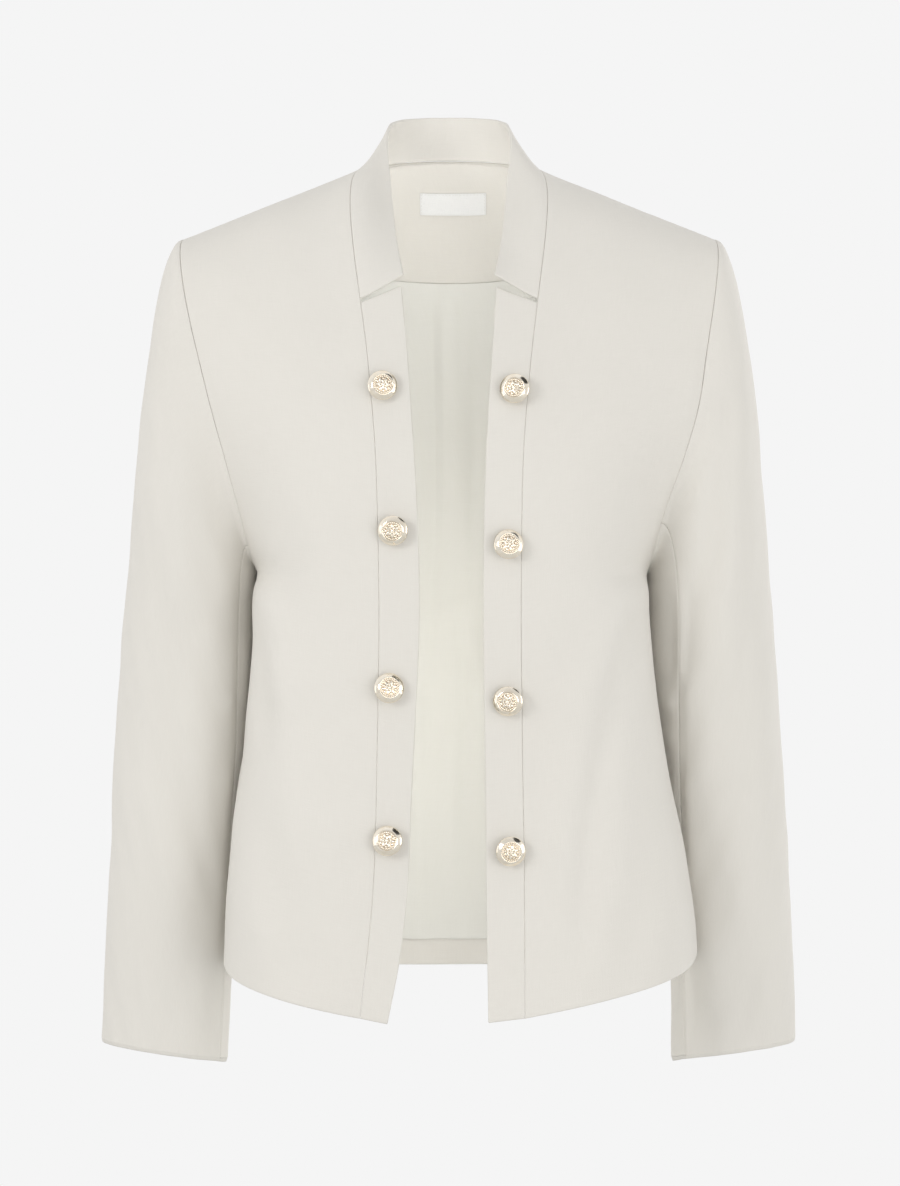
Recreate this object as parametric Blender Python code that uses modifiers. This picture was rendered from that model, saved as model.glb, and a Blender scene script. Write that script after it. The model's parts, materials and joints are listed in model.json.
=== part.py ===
"""Officer jacket, filled out as if worn: open fronts with buttoned bands, a notched stand
collar, set-in two-piece sleeves, and the back neck facing and lining that show inside.

Frame: metres, +Z up, +X to the wearer's left, the fronts face -Y. The origin is the
centre of the back neck seam, where the wearer's neck and shoulders carry the jacket.
Tables are in millimetres, with x counted outward from the middle of the body.
"""
import math

import bpy
import numpy as np

MM = 0.001
NAME = "officer_jacket"
SIDES = {"right": -1.0, "left": 1.0}

# ---------------------------------------------------------------- driving sizes (mm)
SHELL_WALL = 2.2        # outer cloth with its interlining
COLLAR_WALL = 2.4
FACING_WALL = 1.4
LINING_WALL = 1.0
LABEL_WALL = 1.0
SEAM_GAP = 0.3          # between two pieces at a seam, and between layers

NECK_POINT = (62.6, 5.0, -11.0)       # where collar, front and back meet on the shoulder
SHOULDER_POINT = (196.0, 6.0, -63.0)  # where the shoulder seam meets the sleeve head
BACK_NECK = (0.0, 56.0, 0.0)
UNDERARM = {"right": -312.0, "left": -314.0}
CENTRE_HEM = {"front": -629.0, "back": -608.0}
SIDE_HEM = {"right": -597.0, "left": -590.0}
CENTRE_YOKE = {"front": -114.0, "back": -125.0}   # height of the notch; same level behind
SIDE_YOKE = -148.0                                # the yoke line where it meets the armhole
SLEEVE_TOP = -345.0                               # first full ring below the underarm
CUFF_OUTER, CUFF_INNER = -661.0, -676.0
FACING_DROP = -89.0     # lower edge of the back neck facing at the centre
LINING_HEM = -588.0     # the lining ends above the back hem's turn-up
LABEL_CENTRE, LABEL_SIZE = (3.0, -31.0), (50.0, 15.6)
LABEL_SLACK = 0.3       # the label bows a little off the facing
BUTTON_RADIUS = 10.8
NECK_OUT = 33.0                        # the back neck seam leaves the centre straight out
NECK_AHEAD = np.array([-10.0, 26.0, 6.0])   # and reaches the neck point from here
# Directions in which the panels leave their top edges.
FRONT_LEAVES = {"neck": np.array([.36, -1, 0]), "shoulder": np.array([.15, -1, -.06])}
BACK_LEAVES = {"centre": np.array([0, .62, -.78]), "neck": np.array([.12, .98, -.12]),
               "shoulder": np.array([.15, .98, -.06])}
YOKE_HOLD, TOP_HOLD = .36, .38         # shares of its length for which a column keeps them
YOKE_STEP = .001                       # share of the height over which its start is read


def table(columns, *rows):
    """A short table with named columns, as one array for each column."""
    return {name: np.array(column, float) for name, column in zip(columns.split(), zip(*rows))}


# The seam between front and band, as seen from the front, and the band's free edge.
BAND_SEAM = {
    "right": table("z x y", (-629, 63.6, -112), (-545, 54.7, -112), (-430, 51.2, -111),
                   (-344, 50.0, -112), (-272, 51.0, -112), (-220, 53.0, -107),
                   (-171, 57.0, -96), (-143, 60.0, -87), (-114, 64.0, -78)),
    "left": table("z x y", (-629, 54.2, -112), (-545, 54.0, -112), (-430, 52.4, -111),
                  (-344, 51.6, -112), (-272, 52.0, -112), (-220, 53.6, -107),
                  (-171, 57.5, -96), (-143, 60.5, -87), (-114, 64.0, -78)),
}
BAND_EDGE = {
    "right": table("z x y", (-633, 44.0, -112.5), (-590, 35.6, -112.5), (-545, 30.0, -112.5),
                   (-477, 27.0, -112), (-418, 24.0, -111.5), (-344, 21.0, -112.5),
                   (-246, 23.5, -111), (-195, 26.8, -103), (-143, 30.5, -89), (-109, 37.5, -80)),
    "left": table("z x y", (-632, 28.0, -112.5), (-590, 27.4, -112.5), (-545, 26.6, -112.5),
                  (-477, 26.0, -112), (-418, 25.2, -111.5), (-344, 24.4, -112.5),
                  (-246, 25.6, -111), (-195, 28.0, -103), (-143, 31.5, -89), (-109, 37.0, -80)),
}
CENTRE_BACK = table("z x y", (-608, 0, 100), (-560, 0, 97), (-500, 0, 91), (-430, 0, 82),
                    (-365, 0, 79), (-300, 0, 84), (-235, 0, 92), (-175, 0, 97), (-125, 0, 97))
SIDE_SEAM = {
    "right": table("z x y", (-608, 166.0, -20), (-586, 165.2, -20), (-548, 163.7, -20),
                   (-499, 158.4, -20), (-434, 150.0, -20), (-383, 144.5, -20),
                   (-345, 141.5, -16), (-312, 140.6, -8)),
    "left": table("z x y", (-608, 183.0, -20), (-569, 181.3, -20), (-524, 174.8, -20),
                  (-493, 168.6, -20), (-434, 157.2, -20), (-381, 148.4, -20),
                  (-345, 145.8, -16), (-314, 145.2, -8)),
}
ARMHOLE = {
    ("front", "right"): table("z x y", (-312, 140.6, -8), (-304, 143.2, -20), (-287, 148.0, -32),
                              (-263, 154.0, -42), (-227, 163.5, -50), (-190, 173.5, -54),
                              (-148, 184.0, -50)),
    ("front", "left"): table("z x y", (-314, 145.2, -8), (-305, 147.0, -20), (-287, 151.5, -32),
                             (-259, 159.8, -42), (-227, 171.0, -50), (-190, 181.5, -54),
                             (-148, 188.0, -50)),
    ("back", "right"): table("z x y", (-312, 140.6, -8), (-304, 139.6, 8), (-287, 137.5, 24),
                             (-263, 142.0, 38), (-227, 154.0, 52), (-190, 168.5, 59),
                             (-148, 184.0, 60)),
    ("back", "left"): table("z x y", (-314, 145.2, -8), (-305, 144.0, 8), (-287, 142.0, 24),
                            (-259, 148.0, 39), (-227, 160.0, 52), (-190, 174.0, 59),
                            (-148, 188.0, 60)),
}
# How a row arrives at the side: its heading in plan (90 = straight along the side seam),
# then how far each end's direction is held, as a share of the row's length.
ROW_ENDS = {
    "front": table("z heading start end", (-620, 90, .44, .40), (-440, 90, .44, .40),
                   (-314, 90, .43, .39), (-287, 74, .42, .37), (-240, 54, .40, .35),
                   (-195, 38, .39, .34), (-148, 26, .38, .33)),
    "back": table("z heading start end", (-620, 90, .42, .33), (-440, 90, .44, .31),
                  (-314, 90, .44, .31), (-287, 65, .43, .28), (-240, 52, .42, .30),
                  (-195, 41, .41, .33), (-148, 34, .40, .33)),
}
# Right and left sleeves from the first full ring to the cuff.
SLEEVE = {
    "right": table("z outer inner middle half_depth seam", (-345, 242, 143.5, 12, 55, 44),
                   (-390, 245.5, 145, 16, 52.5, 43), (-434, 248.5, 148, 20, 50, 39),
                   (-520, 253.5, 156, 29, 45.5, 35), (-600, 257.5, 161, 38, 40.5, 33),
                   (-680, 260.5, 165, 43, 37, 33)),
    "left": table("z outer inner middle half_depth seam", (-345, 241, 148.5, 14, 55, 49),
                  (-390, 244.5, 149.5, 20, 52.5, 47), (-434, 248, 152, 27, 50, 44),
                  (-520, 254, 160, 39, 45.5, 36), (-600, 258.5, 164.5, 47, 40.5, 30),
                  (-680, 261.5, 167, 50, 37, 29)),
}
BACK_SLEEVE_SEAM = 62.0     # degrees behind the sleeve's inmost line
CAP_EASE, CAP_EASE_ROWS = .35, 4  # the sleeve seams open a little where they meet the armhole
HEAD_RISE = .38             # how much the sleeve head stands up from the armhole seam
HEAD_RISE_ALONG = .1, .6    # and where along the armhole that grows
RING_STEP = 5.0             # the ring below the first that gives the sleeve's direction
SEAM_CELL = .08             # share of a cell beside each sleeve seam, to keep its edges true
# From the underarm (0) over the front or back to the shoulder point (1), by length along
# the armhole: the angle reached on the sleeve's ring, how far the cap leaves the armhole
# in line with the body, and how far it follows the sleeve's own direction.
CAP = table("along angle leave arrive", (0, 0, 8, 1.12), (.13, 44, 9, .90), (.30, 76, 12, .62),
            (.50, 105, 15, .52), (.75, 140, 17, .60), (1, 180, 18, .68))
# The collar's free edge, matched to stations along the neck seam: from the notch (0)
# to the neck point (1), then to the centre back (2).
COLLAR_EDGE = table("along x y z", (0, 33, -82, -96), (.35, 38.5, -51, -62), (.62, 42.5, -22, -22),
                    (.82, 45.5, -6, 6), (1, 45, 8, 20), (1.3, 39.5, 33, 28), (1.65, 21, 54, 32),
                    (2, 0, 61, 33))
COLLAR_LIFT = np.array([0, -.16, .16])    # the collar stands a little proud of the fronts
COLLAR_HOLDS = .36, .33                   # shares of its width held in line at seam and edge
COLLAR_FREE = 1.0, .75                    # it lies on the fronts below this station
# The largest soft folds: a line on a piece (x and z of each end, as seen from the front),
# the width of the fold and its rise, negative for a trough.
FOLDS = {
    "front_left": table("x0 z0 x1 z1 width rise", (146, -312, 104, -432, 17, 3.2),
                        (104, -432, 90, -560, 20, 2.6), (128, -330, 82, -400, 22, -1.4)),
    "front_right": table("x0 z0 x1 z1 width rise", (141, -314, 122, -400, 15, 2.4),
                         (122, -400, 112, -560, 20, 1.6)),
    "sleeve_left": table("x0 z0 x1 z1 width rise", (207, -214, 174, -360, 13, 2.4),
                         (226, -250, 214, -470, 16, -1.6), (182, -400, 214, -560, 18, 1.5)),
    "sleeve_right": table("x0 z0 x1 z1 width rise", (205, -200, 186, -345, 15, 1.6),
                          (228, -270, 216, -500, 18, -1.5), (184, -430, 205, -600, 18, 1.4)),
}
FOLD_FADE = .25             # share of its length over which a fold rises at each end
SEAM_BORDER = 2.0           # cells beside a seam in which folds die away
# Buttons on the bands, top to bottom: place as seen from the front, and tilt in degrees.
BUTTONS = {
    "right": table("x z lean nod", (48.0, -180.5, 9, 6), (39.6, -283, -7, 9), (43.0, -394, 8, -8),
                   (43.6, -502, -6, -5)),
    "left": table("x z lean nod", (47.3, -183, -9, 5), (42.0, -293, 8, -9), (42.3, -403, -8, 7),
                  (43.6, -509, 7, 8)),
}
# Half a button's section, down its outer side: dome, bevelled rim, back plate, shank.
BUTTON_PROFILE = table("radius height", (0, 7.0), (3.8, 6.8), (6.9, 6.1), (8.7, 5.0),
                       (10.2, 4.0), (BUTTON_RADIUS, 3.0), (10.3, 2.2), (7.5, 1.7), (2.7, 1.3),
                       (2.7, -1.6), (1.9, -2.7), (0, -3.1))
BUTTON_STEPS = 16
BUTTON_MERGE = .00005

# ---------------------------------------------------------------- stations of the rows
UNDERARM_STATION = {side: (UNDERARM[side] - SIDE_HEM[side]) / (SIDE_YOKE - SIDE_HEM[side])
                    for side in SIDES}
BELOW_UNDERARM = (0, .12, .26, .40, .55, .70, .84, .96, 1)
ABOVE_UNDERARM = (.05, .13, .24, .38, .56, .78, 1)
OVER_SHOULDER = (.20, .40, .60, .80, .95, 1)
ACROSS = (0, .03, .13, .26, .40, .54, .67, .79, .89, .97, 1)
ACROSS_NECK = (0, .30, .60, .85)
NECK_SHARE = .30            # share of a back row that lies below the neck
CAP_STEPS = (0, .05, .16, .30, .46, .64, .82, 1)
SLEEVE_STEPS = (.12, .25, .38, .52, .66, .80, .92, 1)
ACROSS_BAND = (0, .35, .7, 1)
BAND_STEP = .01             # share of the band's height over which its direction is read
ACROSS_COLLAR = (0, .2, .45, .7, 1)
COLLAR_NOTCH, BAND_NOTCH = .012, .002   # how far collar and band stop short of the notch
FACING_COLUMNS, LINING_COLUMNS = 2, 1   # the back's columns that each leaves bare at a side
NECK_SETBACK = 1.2                      # facing and lining stop short of the seams above them
LABEL_COLUMNS, LABEL_ROWS = 9, 4


# ---------------------------------------------------------------- curves and surfaces
def read(tab, column, at):
    """A table's column on a smooth curve through its rows, which its first column orders."""
    stations, values = next(iter(tab.values())), tab[column]
    if stations[0] > stations[-1]:
        stations, values = stations[::-1], values[::-1]
    slopes = np.gradient(values, stations)
    at = np.clip(np.asarray(at, float), stations[0], stations[-1])
    cell = np.clip(np.searchsorted(stations, at, side="right") - 1, 0, len(stations) - 2)
    span = stations[cell + 1] - stations[cell]
    t = (at - stations[cell]) / span
    return (values[cell] * (1 + 2 * t) * (1 - t) ** 2 + slopes[cell] * span * t * (1 - t) ** 2
            + values[cell + 1] * t * t * (3 - 2 * t) + slopes[cell + 1] * span * t * t * (t - 1))


def on_curve(tab, z):
    """Points of a boundary curve at heights z."""
    return np.stack([read(tab, "x", z), read(tab, "y", z), np.asarray(z, float)], -1)


def bezier(p0, p1, p2, p3, t):
    s = 1 - t
    return s ** 3 * p0 + 3 * s * s * t * p1 + 3 * s * t * t * p2 + t ** 3 * p3


def mix(start, end, share):
    """Vectors from start (share 0) to end (1)."""
    share = np.asarray(share, float)[:, None]
    return start * (1 - share) + end * share


def unit(vectors):
    return vectors / np.linalg.norm(vectors, axis=-1, keepdims=True)


def smoothstep(low, high, value):
    t = np.clip((value - low) / (high - low), 0, 1)
    return t * t * (3 - 2 * t)


def lower_panel(face, side, rise, across):
    """A front or back from the hem (rise 0) to the yoke line (1), and from the centre
    (across 0) to the side seam or armhole (1). Each row is one Bezier."""
    rise, across = np.asarray(rise, float)[:, None], np.asarray(across, float)[None, :]
    centre_z = CENTRE_HEM[face] + rise[:, 0] * (CENTRE_YOKE[face] - CENTRE_HEM[face])
    side_z = SIDE_HEM[side] + rise[:, 0] * (SIDE_YOKE - SIDE_HEM[side])
    inner = on_curve(BAND_SEAM[side] if face == "front" else CENTRE_BACK, centre_z)
    above = (side_z > UNDERARM[side])[:, None]
    outer = np.where(above, on_curve(ARMHOLE[face, side], side_z),
                     on_curve(SIDE_SEAM[side], side_z))
    ends = ROW_ENDS[face]
    heading = np.radians(read(ends, "heading", side_z))
    behind = 1.0 if face == "front" else -1.0
    arrive = np.stack([np.cos(heading), behind * np.sin(heading), 0 * heading], -1)
    length = np.linalg.norm((outer - inner)[:, :2], axis=-1)
    out = np.array([1.0, 0, 0])
    first = inner + (read(ends, "start", side_z) * length)[:, None] * out
    last = outer - (read(ends, "end", side_z) * length)[:, None] * arrive
    grid = bezier(inner[:, None], first[:, None], last[:, None], outer[:, None], across[..., None])
    level = across if face == "front" else across ** 2
    grid[..., 2] = centre_z[:, None] + (side_z - centre_z)[:, None] * level
    return grid


def neck_curve(turn):
    """The back neck seam from the centre (turn 0) to the neck point (1)."""
    turn = np.asarray(turn, float)[:, None]
    return bezier(np.array(BACK_NECK), np.array(BACK_NECK) + (NECK_OUT, 0, 0),
                  np.array(NECK_POINT) + NECK_AHEAD, np.array(NECK_POINT), turn)


def shoulder_seam(across):
    return mix(np.array(NECK_POINT), np.array(SHOULDER_POINT), across)


def over_shoulder(face, side, turn, across, top, leave):
    """A panel from the yoke line (turn 0) to its top edge (turn 1), one Bezier a column,
    leaving the top edge along the direction leave."""
    start, before = lower_panel(face, side, (1, 1 - YOKE_STEP), across)
    length = np.linalg.norm(top - start, axis=-1, keepdims=True)
    first = start + YOKE_HOLD * length * unit(start - before)
    last = top + TOP_HOLD * length * unit(leave)
    turn = np.asarray(turn, float)[:, None, None]
    return bezier(start[None], first[None], last[None], top[None], turn)


def front_top(side, turn, across):
    across = np.asarray(across, float)
    leave = mix(FRONT_LEAVES["neck"], FRONT_LEAVES["shoulder"], across)
    return over_shoulder("front", side, turn, across, shoulder_seam(across), leave)


def back_columns(neck, across):
    """Shares of a back row: those below the neck seam, then those below the shoulder."""
    neck, across = np.asarray(neck, float), np.asarray(across, float)
    return np.concatenate([neck * NECK_SHARE, NECK_SHARE + across * (1 - NECK_SHARE)])


def back_top(side, turn, neck, across):
    neck, across = np.asarray(neck, float), np.asarray(across, float)
    top = np.concatenate([neck_curve(neck), shoulder_seam(across)])
    below_neck = mix(BACK_LEAVES["centre"], BACK_LEAVES["neck"], smoothstep(0, 1, neck))
    below_shoulder = mix(BACK_LEAVES["neck"], BACK_LEAVES["shoulder"], across)
    leave = np.concatenate([below_neck, below_shoulder])
    return over_shoulder("back", side, turn, back_columns(neck, across), top, leave)


def rows_of(side):
    """Shares of the height from hem to yoke line, with a row at the underarm."""
    split = UNDERARM_STATION[side]
    return [split * part for part in BELOW_UNDERARM] + \
           [split + (1 - split) * part for part in ABOVE_UNDERARM]


def front_grid(side):
    return np.concatenate([lower_panel("front", side, rows_of(side), ACROSS),
                           front_top(side, OVER_SHOULDER, ACROSS)])


def half_back_grid(side):
    columns = back_columns(ACROSS_NECK, ACROSS)
    return np.concatenate([lower_panel("back", side, rows_of(side), columns),
                           back_top(side, OVER_SHOULDER, ACROSS_NECK, ACROSS)])


def mirrored(grid, sign):
    return grid * np.array([sign, 1.0, 1.0])


def set_back(grid, edges, distance=SEAM_GAP / 2):
    """Move the named edges of a grid inward, so that the seam there keeps its gap. The
    distance may be a column of one value a row."""
    grid = grid.copy()
    views = {"first_row": (grid[0], grid[1]), "last_row": (grid[-1], grid[-2]),
             "first_column": (grid[:, 0], grid[:, 1]), "last_column": (grid[:, -1], grid[:, -2])}
    for edge in edges:
        line, neighbour = views[edge]
        line += distance * unit(neighbour - line)
    return grid


def normals(grid, outward):
    """Unit normals of a grid, on the side that faces outward at its middle."""
    down, along = np.gradient(grid, axis=0), np.gradient(grid, axis=1)
    found = unit(np.cross(down, along))
    middle = found[len(found) // 2, found.shape[1] // 2]
    return found * math.copysign(1.0, float(middle @ np.array(outward)))


def fold(grid, folds, outward, free):
    """Raise soft folds on a grid. free is 1 where the cloth may move and 0 at its seams."""
    shift = np.zeros(grid.shape[:2])
    place = np.abs(grid[..., 0]), grid[..., 2]
    for x0, z0, x1, z1, width, rise in zip(*folds.values()):
        run = np.array([x1 - x0, z1 - z0])
        length = np.linalg.norm(run)
        along = ((place[0] - x0) * run[0] + (place[1] - z0) * run[1]) / length ** 2
        aside = ((place[0] - x0) * run[1] - (place[1] - z0) * run[0]) / length
        ends = smoothstep(-FOLD_FADE, FOLD_FADE, along) * \
            smoothstep(1 + FOLD_FADE, 1 - FOLD_FADE, along)
        shift += rise * ends * np.exp(-(aside / width) ** 2)
    return grid + (shift * free)[..., None] * normals(grid, outward)


def seam_free(rows, columns):
    """1 inside a grid, falling to 0 at its edges."""
    down, along = np.arange(rows)[:, None], np.arange(columns)[None, :]
    near = np.minimum(np.minimum(down, rows - 1 - down), np.minimum(along, columns - 1 - along))
    return smoothstep(0, SEAM_BORDER, near.astype(float))


# ---------------------------------------------------------------- sleeves
def sleeve_ring(side, z, angle):
    """Points of the sleeve below its cap. Angle 0 is the inmost line, 90 the front."""
    rows = SLEEVE[side]
    z, angle = np.broadcast_arrays(np.asarray(z, float), np.radians(np.asarray(angle, float)))
    outer, inner = read(rows, "outer", z), read(rows, "inner", z)
    x = (outer + inner) / 2 - (outer - inner) / 2 * np.cos(angle)
    y = read(rows, "middle", z) - read(rows, "half_depth", z) * np.sin(angle)
    return np.stack([x, y, z], -1)


def armhole_edge(side, grids):
    """The armhole from the underarm over the front to the shoulder point and down the
    back, with the direction in which the body's cloth would run on through it."""
    split = len(BELOW_UNDERARM) - 1
    edges, runs = [], []
    for face in ("front", "back"):
        grid = grids[face][split:]
        edge, ahead = grid[:, -1], unit(grid[:, -1] - grid[:, -2])
        along = unit(np.gradient(edge, axis=0))
        edges.append(edge)
        ahead = unit(ahead - (ahead * along).sum(-1, keepdims=True) * along)
        out = np.cross(along, ahead) * (1 if face == "back" else -1)
        rise = HEAD_RISE * smoothstep(*HEAD_RISE_ALONG, np.linspace(0, 1, len(edge)))
        runs.append(unit(ahead + rise[:, None] * out))
    for place in (0, -1):
        runs[0][place] = unit(runs[0][place] + runs[1][place])
    edge = np.concatenate([edges[0], edges[1][-2:0:-1]])
    run = np.concatenate([runs[0], runs[1][-2:0:-1]])
    along = [np.linalg.norm(np.diff(part, axis=0), axis=-1).cumsum() for part in edges]
    share = [np.concatenate([[0], part]) / part[-1] for part in along]
    return edge, run, np.concatenate([share[0], share[1][-2:0:-1]]), len(edges[0]) - 1


def at_stations(values, stations):
    """Values of a closed loop read between its points, on straight lines."""
    low = np.floor(stations).astype(int)
    part = (stations - low).reshape((-1,) + (1,) * (values.ndim - 1))
    return values[low] * (1 - part) + values[(low + 1) % len(values)] * part


def sleeve_grid(side, grids):
    """The whole sleeve: a row a ring from armhole to cuff, a column a station of the
    armhole, starting at the underarm and going up the front."""
    edge, run, share, top = armhole_edge(side, grids)
    angle = read(CAP, "angle", share)
    angle[top + 1:] *= -1
    start = float(read(SLEEVE[side], "seam", SLEEVE_TOP))
    seams = [int(np.argmin(np.abs(angle - place))) for place in (start, -BACK_SLEEVE_SEAM)]
    beside = [seam + shift for seam in seams for shift in (-SEAM_CELL, SEAM_CELL)]
    stations = np.sort(np.concatenate([np.arange(len(edge)), beside]))
    edge, run, share, angle = (at_stations(part, stations) for part in (edge, run, share, angle))
    ring = sleeve_ring(side, SLEEVE_TOP, angle)
    upward = unit(ring - sleeve_ring(side, SLEEVE_TOP - RING_STEP, angle))
    reach = np.linalg.norm(ring - edge, axis=-1)
    first = edge + read(CAP, "leave", share)[:, None] * run
    last = ring + (read(CAP, "arrive", share) * reach)[:, None] * upward
    steps = np.array(CAP_STEPS)[:, None, None]
    cap = bezier(edge[None], first[None], last[None], ring[None], steps)
    rings = [cap]
    cuff = (CUFF_OUTER + CUFF_INNER) / 2 + (CUFF_INNER - CUFF_OUTER) / 2 * np.cos(np.radians(angle))
    for step in SLEEVE_STEPS:
        z = SLEEVE_TOP + step * (cuff - SLEEVE_TOP)
        seam = read(SLEEVE[side], "seam", z)
        size = np.abs(angle)
        turned = np.where(size < start, size * seam / start,
                          180 - (180 - size) * (180 - seam) / (180 - start))
        turned = np.where(angle < 0, angle, turned)
        rings.append(sleeve_ring(side, z, turned)[None])
    return np.concatenate(rings), *(int(np.searchsorted(stations, seam)) for seam in seams)


# ---------------------------------------------------------------- objects
def material(name, colour, roughness, metallic=0.0):
    made = bpy.data.materials.new(name)
    made.use_nodes = True
    shader = made.node_tree.nodes["Principled BSDF"]
    shader.inputs["Base Color"].default_value = (*colour, 1.0)
    shader.inputs["Roughness"].default_value = roughness
    shader.inputs["Metallic"].default_value = metallic
    return made


def wall(name, grid, outward, thickness, finish, parts):
    """One piece of cloth: an open grid in millimetres, thickened away from its outer face."""
    grid = np.asarray(grid)
    rows, columns = grid.shape[:2]
    down, along = np.gradient(grid, axis=0), np.gradient(grid, axis=1)
    middle = rows // 2, columns // 2
    facing = np.cross(along[middle], down[middle]) @ np.array(outward, float)
    quads = []
    for row in range(rows - 1):
        for column in range(columns - 1):
            low = row * columns + column
            quad = (low, low + 1, low + 1 + columns, low + columns)
            quads.append(quad if facing > 0 else quad[::-1])
    mesh = bpy.data.meshes.new(name)
    mesh.from_pydata((grid.reshape(-1, 3) * MM).tolist(), [], quads)
    mesh.materials.append(finish)
    mesh.shade_smooth()
    made = bpy.data.objects.new(name, mesh)
    parts.objects.link(made)
    shell = made.modifiers.new("wall", "SOLIDIFY")
    shell.thickness = thickness * MM
    shell.offset = -1.0
    return made


def make_body(finish, parts):
    """Fronts, back and bands. Returns the grids that the other pieces are made from."""
    grids = {}
    for side, sign in SIDES.items():
        front, back = front_grid(side), half_back_grid(side)
        grids[side] = {"front": front, "back": back}
        name = "front_" + side
        folded = fold(front, FOLDS[name], (0, -1, 0), seam_free(*front.shape[:2]))
        cut = set_back(folded, ("first_column", "last_column", "last_row"))
        wall(name, mirrored(cut, sign), (0, -1, 0), SHELL_WALL, finish, parts)
    right, left = (mirrored(grids[side]["back"], SIDES[side]) for side in ("right", "left"))
    whole = np.concatenate([right[:, :0:-1], left], axis=1)
    grids["back"] = whole
    cut = set_back(whole, ("first_column", "last_column", "last_row"))
    wall("back", cut, (0, 1, 0), SHELL_WALL, finish, parts)
    return grids


def band_grid(side, rise, across):
    """The band from its seam (across 0) to its free edge (1)."""
    rise, across = np.asarray(rise, float), np.asarray(across, float)[None, :, None]
    seam_z = CENTRE_HEM["front"] + rise * (CENTRE_YOKE["front"] - CENTRE_HEM["front"])
    edge_rows = BAND_EDGE[side]
    low, high = edge_rows["z"][0], edge_rows["z"][-1]
    seam, edge = on_curve(BAND_SEAM[side], seam_z), on_curve(edge_rows, low + rise * (high - low))
    return seam[:, None] * (1 - across) + edge[:, None] * across


def make_bands(finish, parts):
    for side, sign in SIDES.items():
        rise = rows_of(side)
        rise[-1] -= BAND_NOTCH
        grid = set_back(band_grid(side, rise, ACROSS_BAND), ("first_column",))
        wall("band_" + side, mirrored(grid, sign), (0, -1, 0), SHELL_WALL, finish, parts)


def collar_half(side, turn_notch, turn_neck, across):
    """Half a collar: rows from the notch round to the centre back, columns from the neck
    seam to the free edge. It leaves the front in line with it, and stands up behind."""
    beside_front = front_top(side, turn_notch, (0.0, ACROSS[1]))
    seam = np.concatenate([beside_front[:, 0], neck_curve(1 - np.asarray(turn_neck))])
    along = np.concatenate([turn_notch, 1 + np.asarray(turn_neck)])
    edge = np.stack([read(COLLAR_EDGE, axis, along) for axis in "xyz"], -1)
    width = np.linalg.norm(edge - seam, axis=-1, keepdims=True)
    stand = unit(edge - seam)
    in_line = stand.copy()
    in_line[:len(turn_notch)] = unit(beside_front[:, 0] - beside_front[:, 1])
    lies = smoothstep(*COLLAR_FREE, along)[:, None]
    leave = unit(lies * (in_line + COLLAR_LIFT) + (1 - lies) * stand)
    first, last = seam + COLLAR_HOLDS[0] * width * leave, edge - COLLAR_HOLDS[1] * width * stand
    across = np.asarray(across, float)[None, :, None]
    return bezier(seam[:, None], first[:, None], last[:, None], edge[:, None], across)


def make_collar(finish, parts):
    notch = (COLLAR_NOTCH,) + OVER_SHOULDER
    neck = [1 - part for part in ACROSS_NECK[::-1]]
    halves = {side: collar_half(side, notch, neck, ACROSS_COLLAR) for side in SIDES}
    right, left = (mirrored(halves[side], SIDES[side]) for side in ("right", "left"))
    whole = np.concatenate([right, left[-2::-1]])
    cut = set_back(whole, ("first_column",))
    wall("collar", cut, (0, 1, 0), COLLAR_WALL, finish, parts)


def make_inside(grids, finishes, parts):
    """Neck facing and lining, from the back's points, and the label on the facing."""
    layer = grids["back"] - (SHELL_WALL + SEAM_GAP) * normals(grids["back"], (0, 1, 0))
    centre = layer[:, layer.shape[1] // 2, 2]
    split = int(np.argmin(np.abs(centre - FACING_DROP)))
    facing = layer[split:, FACING_COLUMNS:-FACING_COLUMNS]
    facing = set_back(facing, ("last_row",), NECK_SETBACK)
    wall("back_neck_facing", facing, (0, 1, 0), FACING_WALL, finishes["cloth"], parts)
    lining = layer[:split + 1, LINING_COLUMNS:-LINING_COLUMNS].copy()
    lining[0] += (lining[1] - lining[0]) * ((LINING_HEM - centre[0]) / (centre[1] - centre[0]))
    lining = set_back(lining, ("last_row",), SEAM_GAP)
    wall("back_lining", lining, (0, 1, 0), LINING_WALL, finishes["lining"], parts)
    return facing


def make_label(facing, finish, parts):
    """The label, bowed with the facing's inner face, which it lies on."""
    inner = facing - FACING_WALL * normals(facing, (0, 1, 0))
    (x0, z0), (width, height) = LABEL_CENTRE, LABEL_SIZE
    columns = []
    for x in x0 + width * np.linspace(-.5, .5, LABEL_COLUMNS):
        profile = [[np.interp(x, row[:, 0], row[:, axis]) for axis in (2, 1)] for row in inner]
        heights, depths = np.array(profile).T
        columns.append([(x, np.interp(z, heights, depths), z)
                        for z in z0 + height * np.linspace(-.5, .5, LABEL_ROWS)])
    sheet = np.array(columns)
    sheet -= (SEAM_GAP + LABEL_SLACK + LABEL_WALL) * normals(sheet, (0, 1, 0))
    wall("neck_label", sheet, (0, -1, 0), LABEL_WALL, finish, parts)


def button_mesh(name, finish):
    mesh = bpy.data.meshes.new(name)
    points = [(radius * MM, 0, height * MM) for radius, height in zip(*BUTTON_PROFILE.values())]
    mesh.from_pydata(points, [(low, low + 1) for low in range(len(points) - 1)], [])
    mesh.materials.append(finish)
    return mesh


def band_place(side, x, z):
    """A point on the band's outer face and the face's normal, at (x, z) from the front."""
    rise = (z - CENTRE_HEM["front"]) / (CENTRE_YOKE["front"] - CENTRE_HEM["front"])
    rows = band_grid(side, (rise - BAND_STEP, rise, rise + BAND_STEP), (0, 1))
    seam, edge = rows[1]
    share = (x - seam[0]) / (edge[0] - seam[0])
    point = seam + share * (edge - seam)
    normal = unit(np.cross(rows[2, 0] - rows[0, 0], edge - seam))
    return point, normal * math.copysign(1.0, -normal[1])


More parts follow.
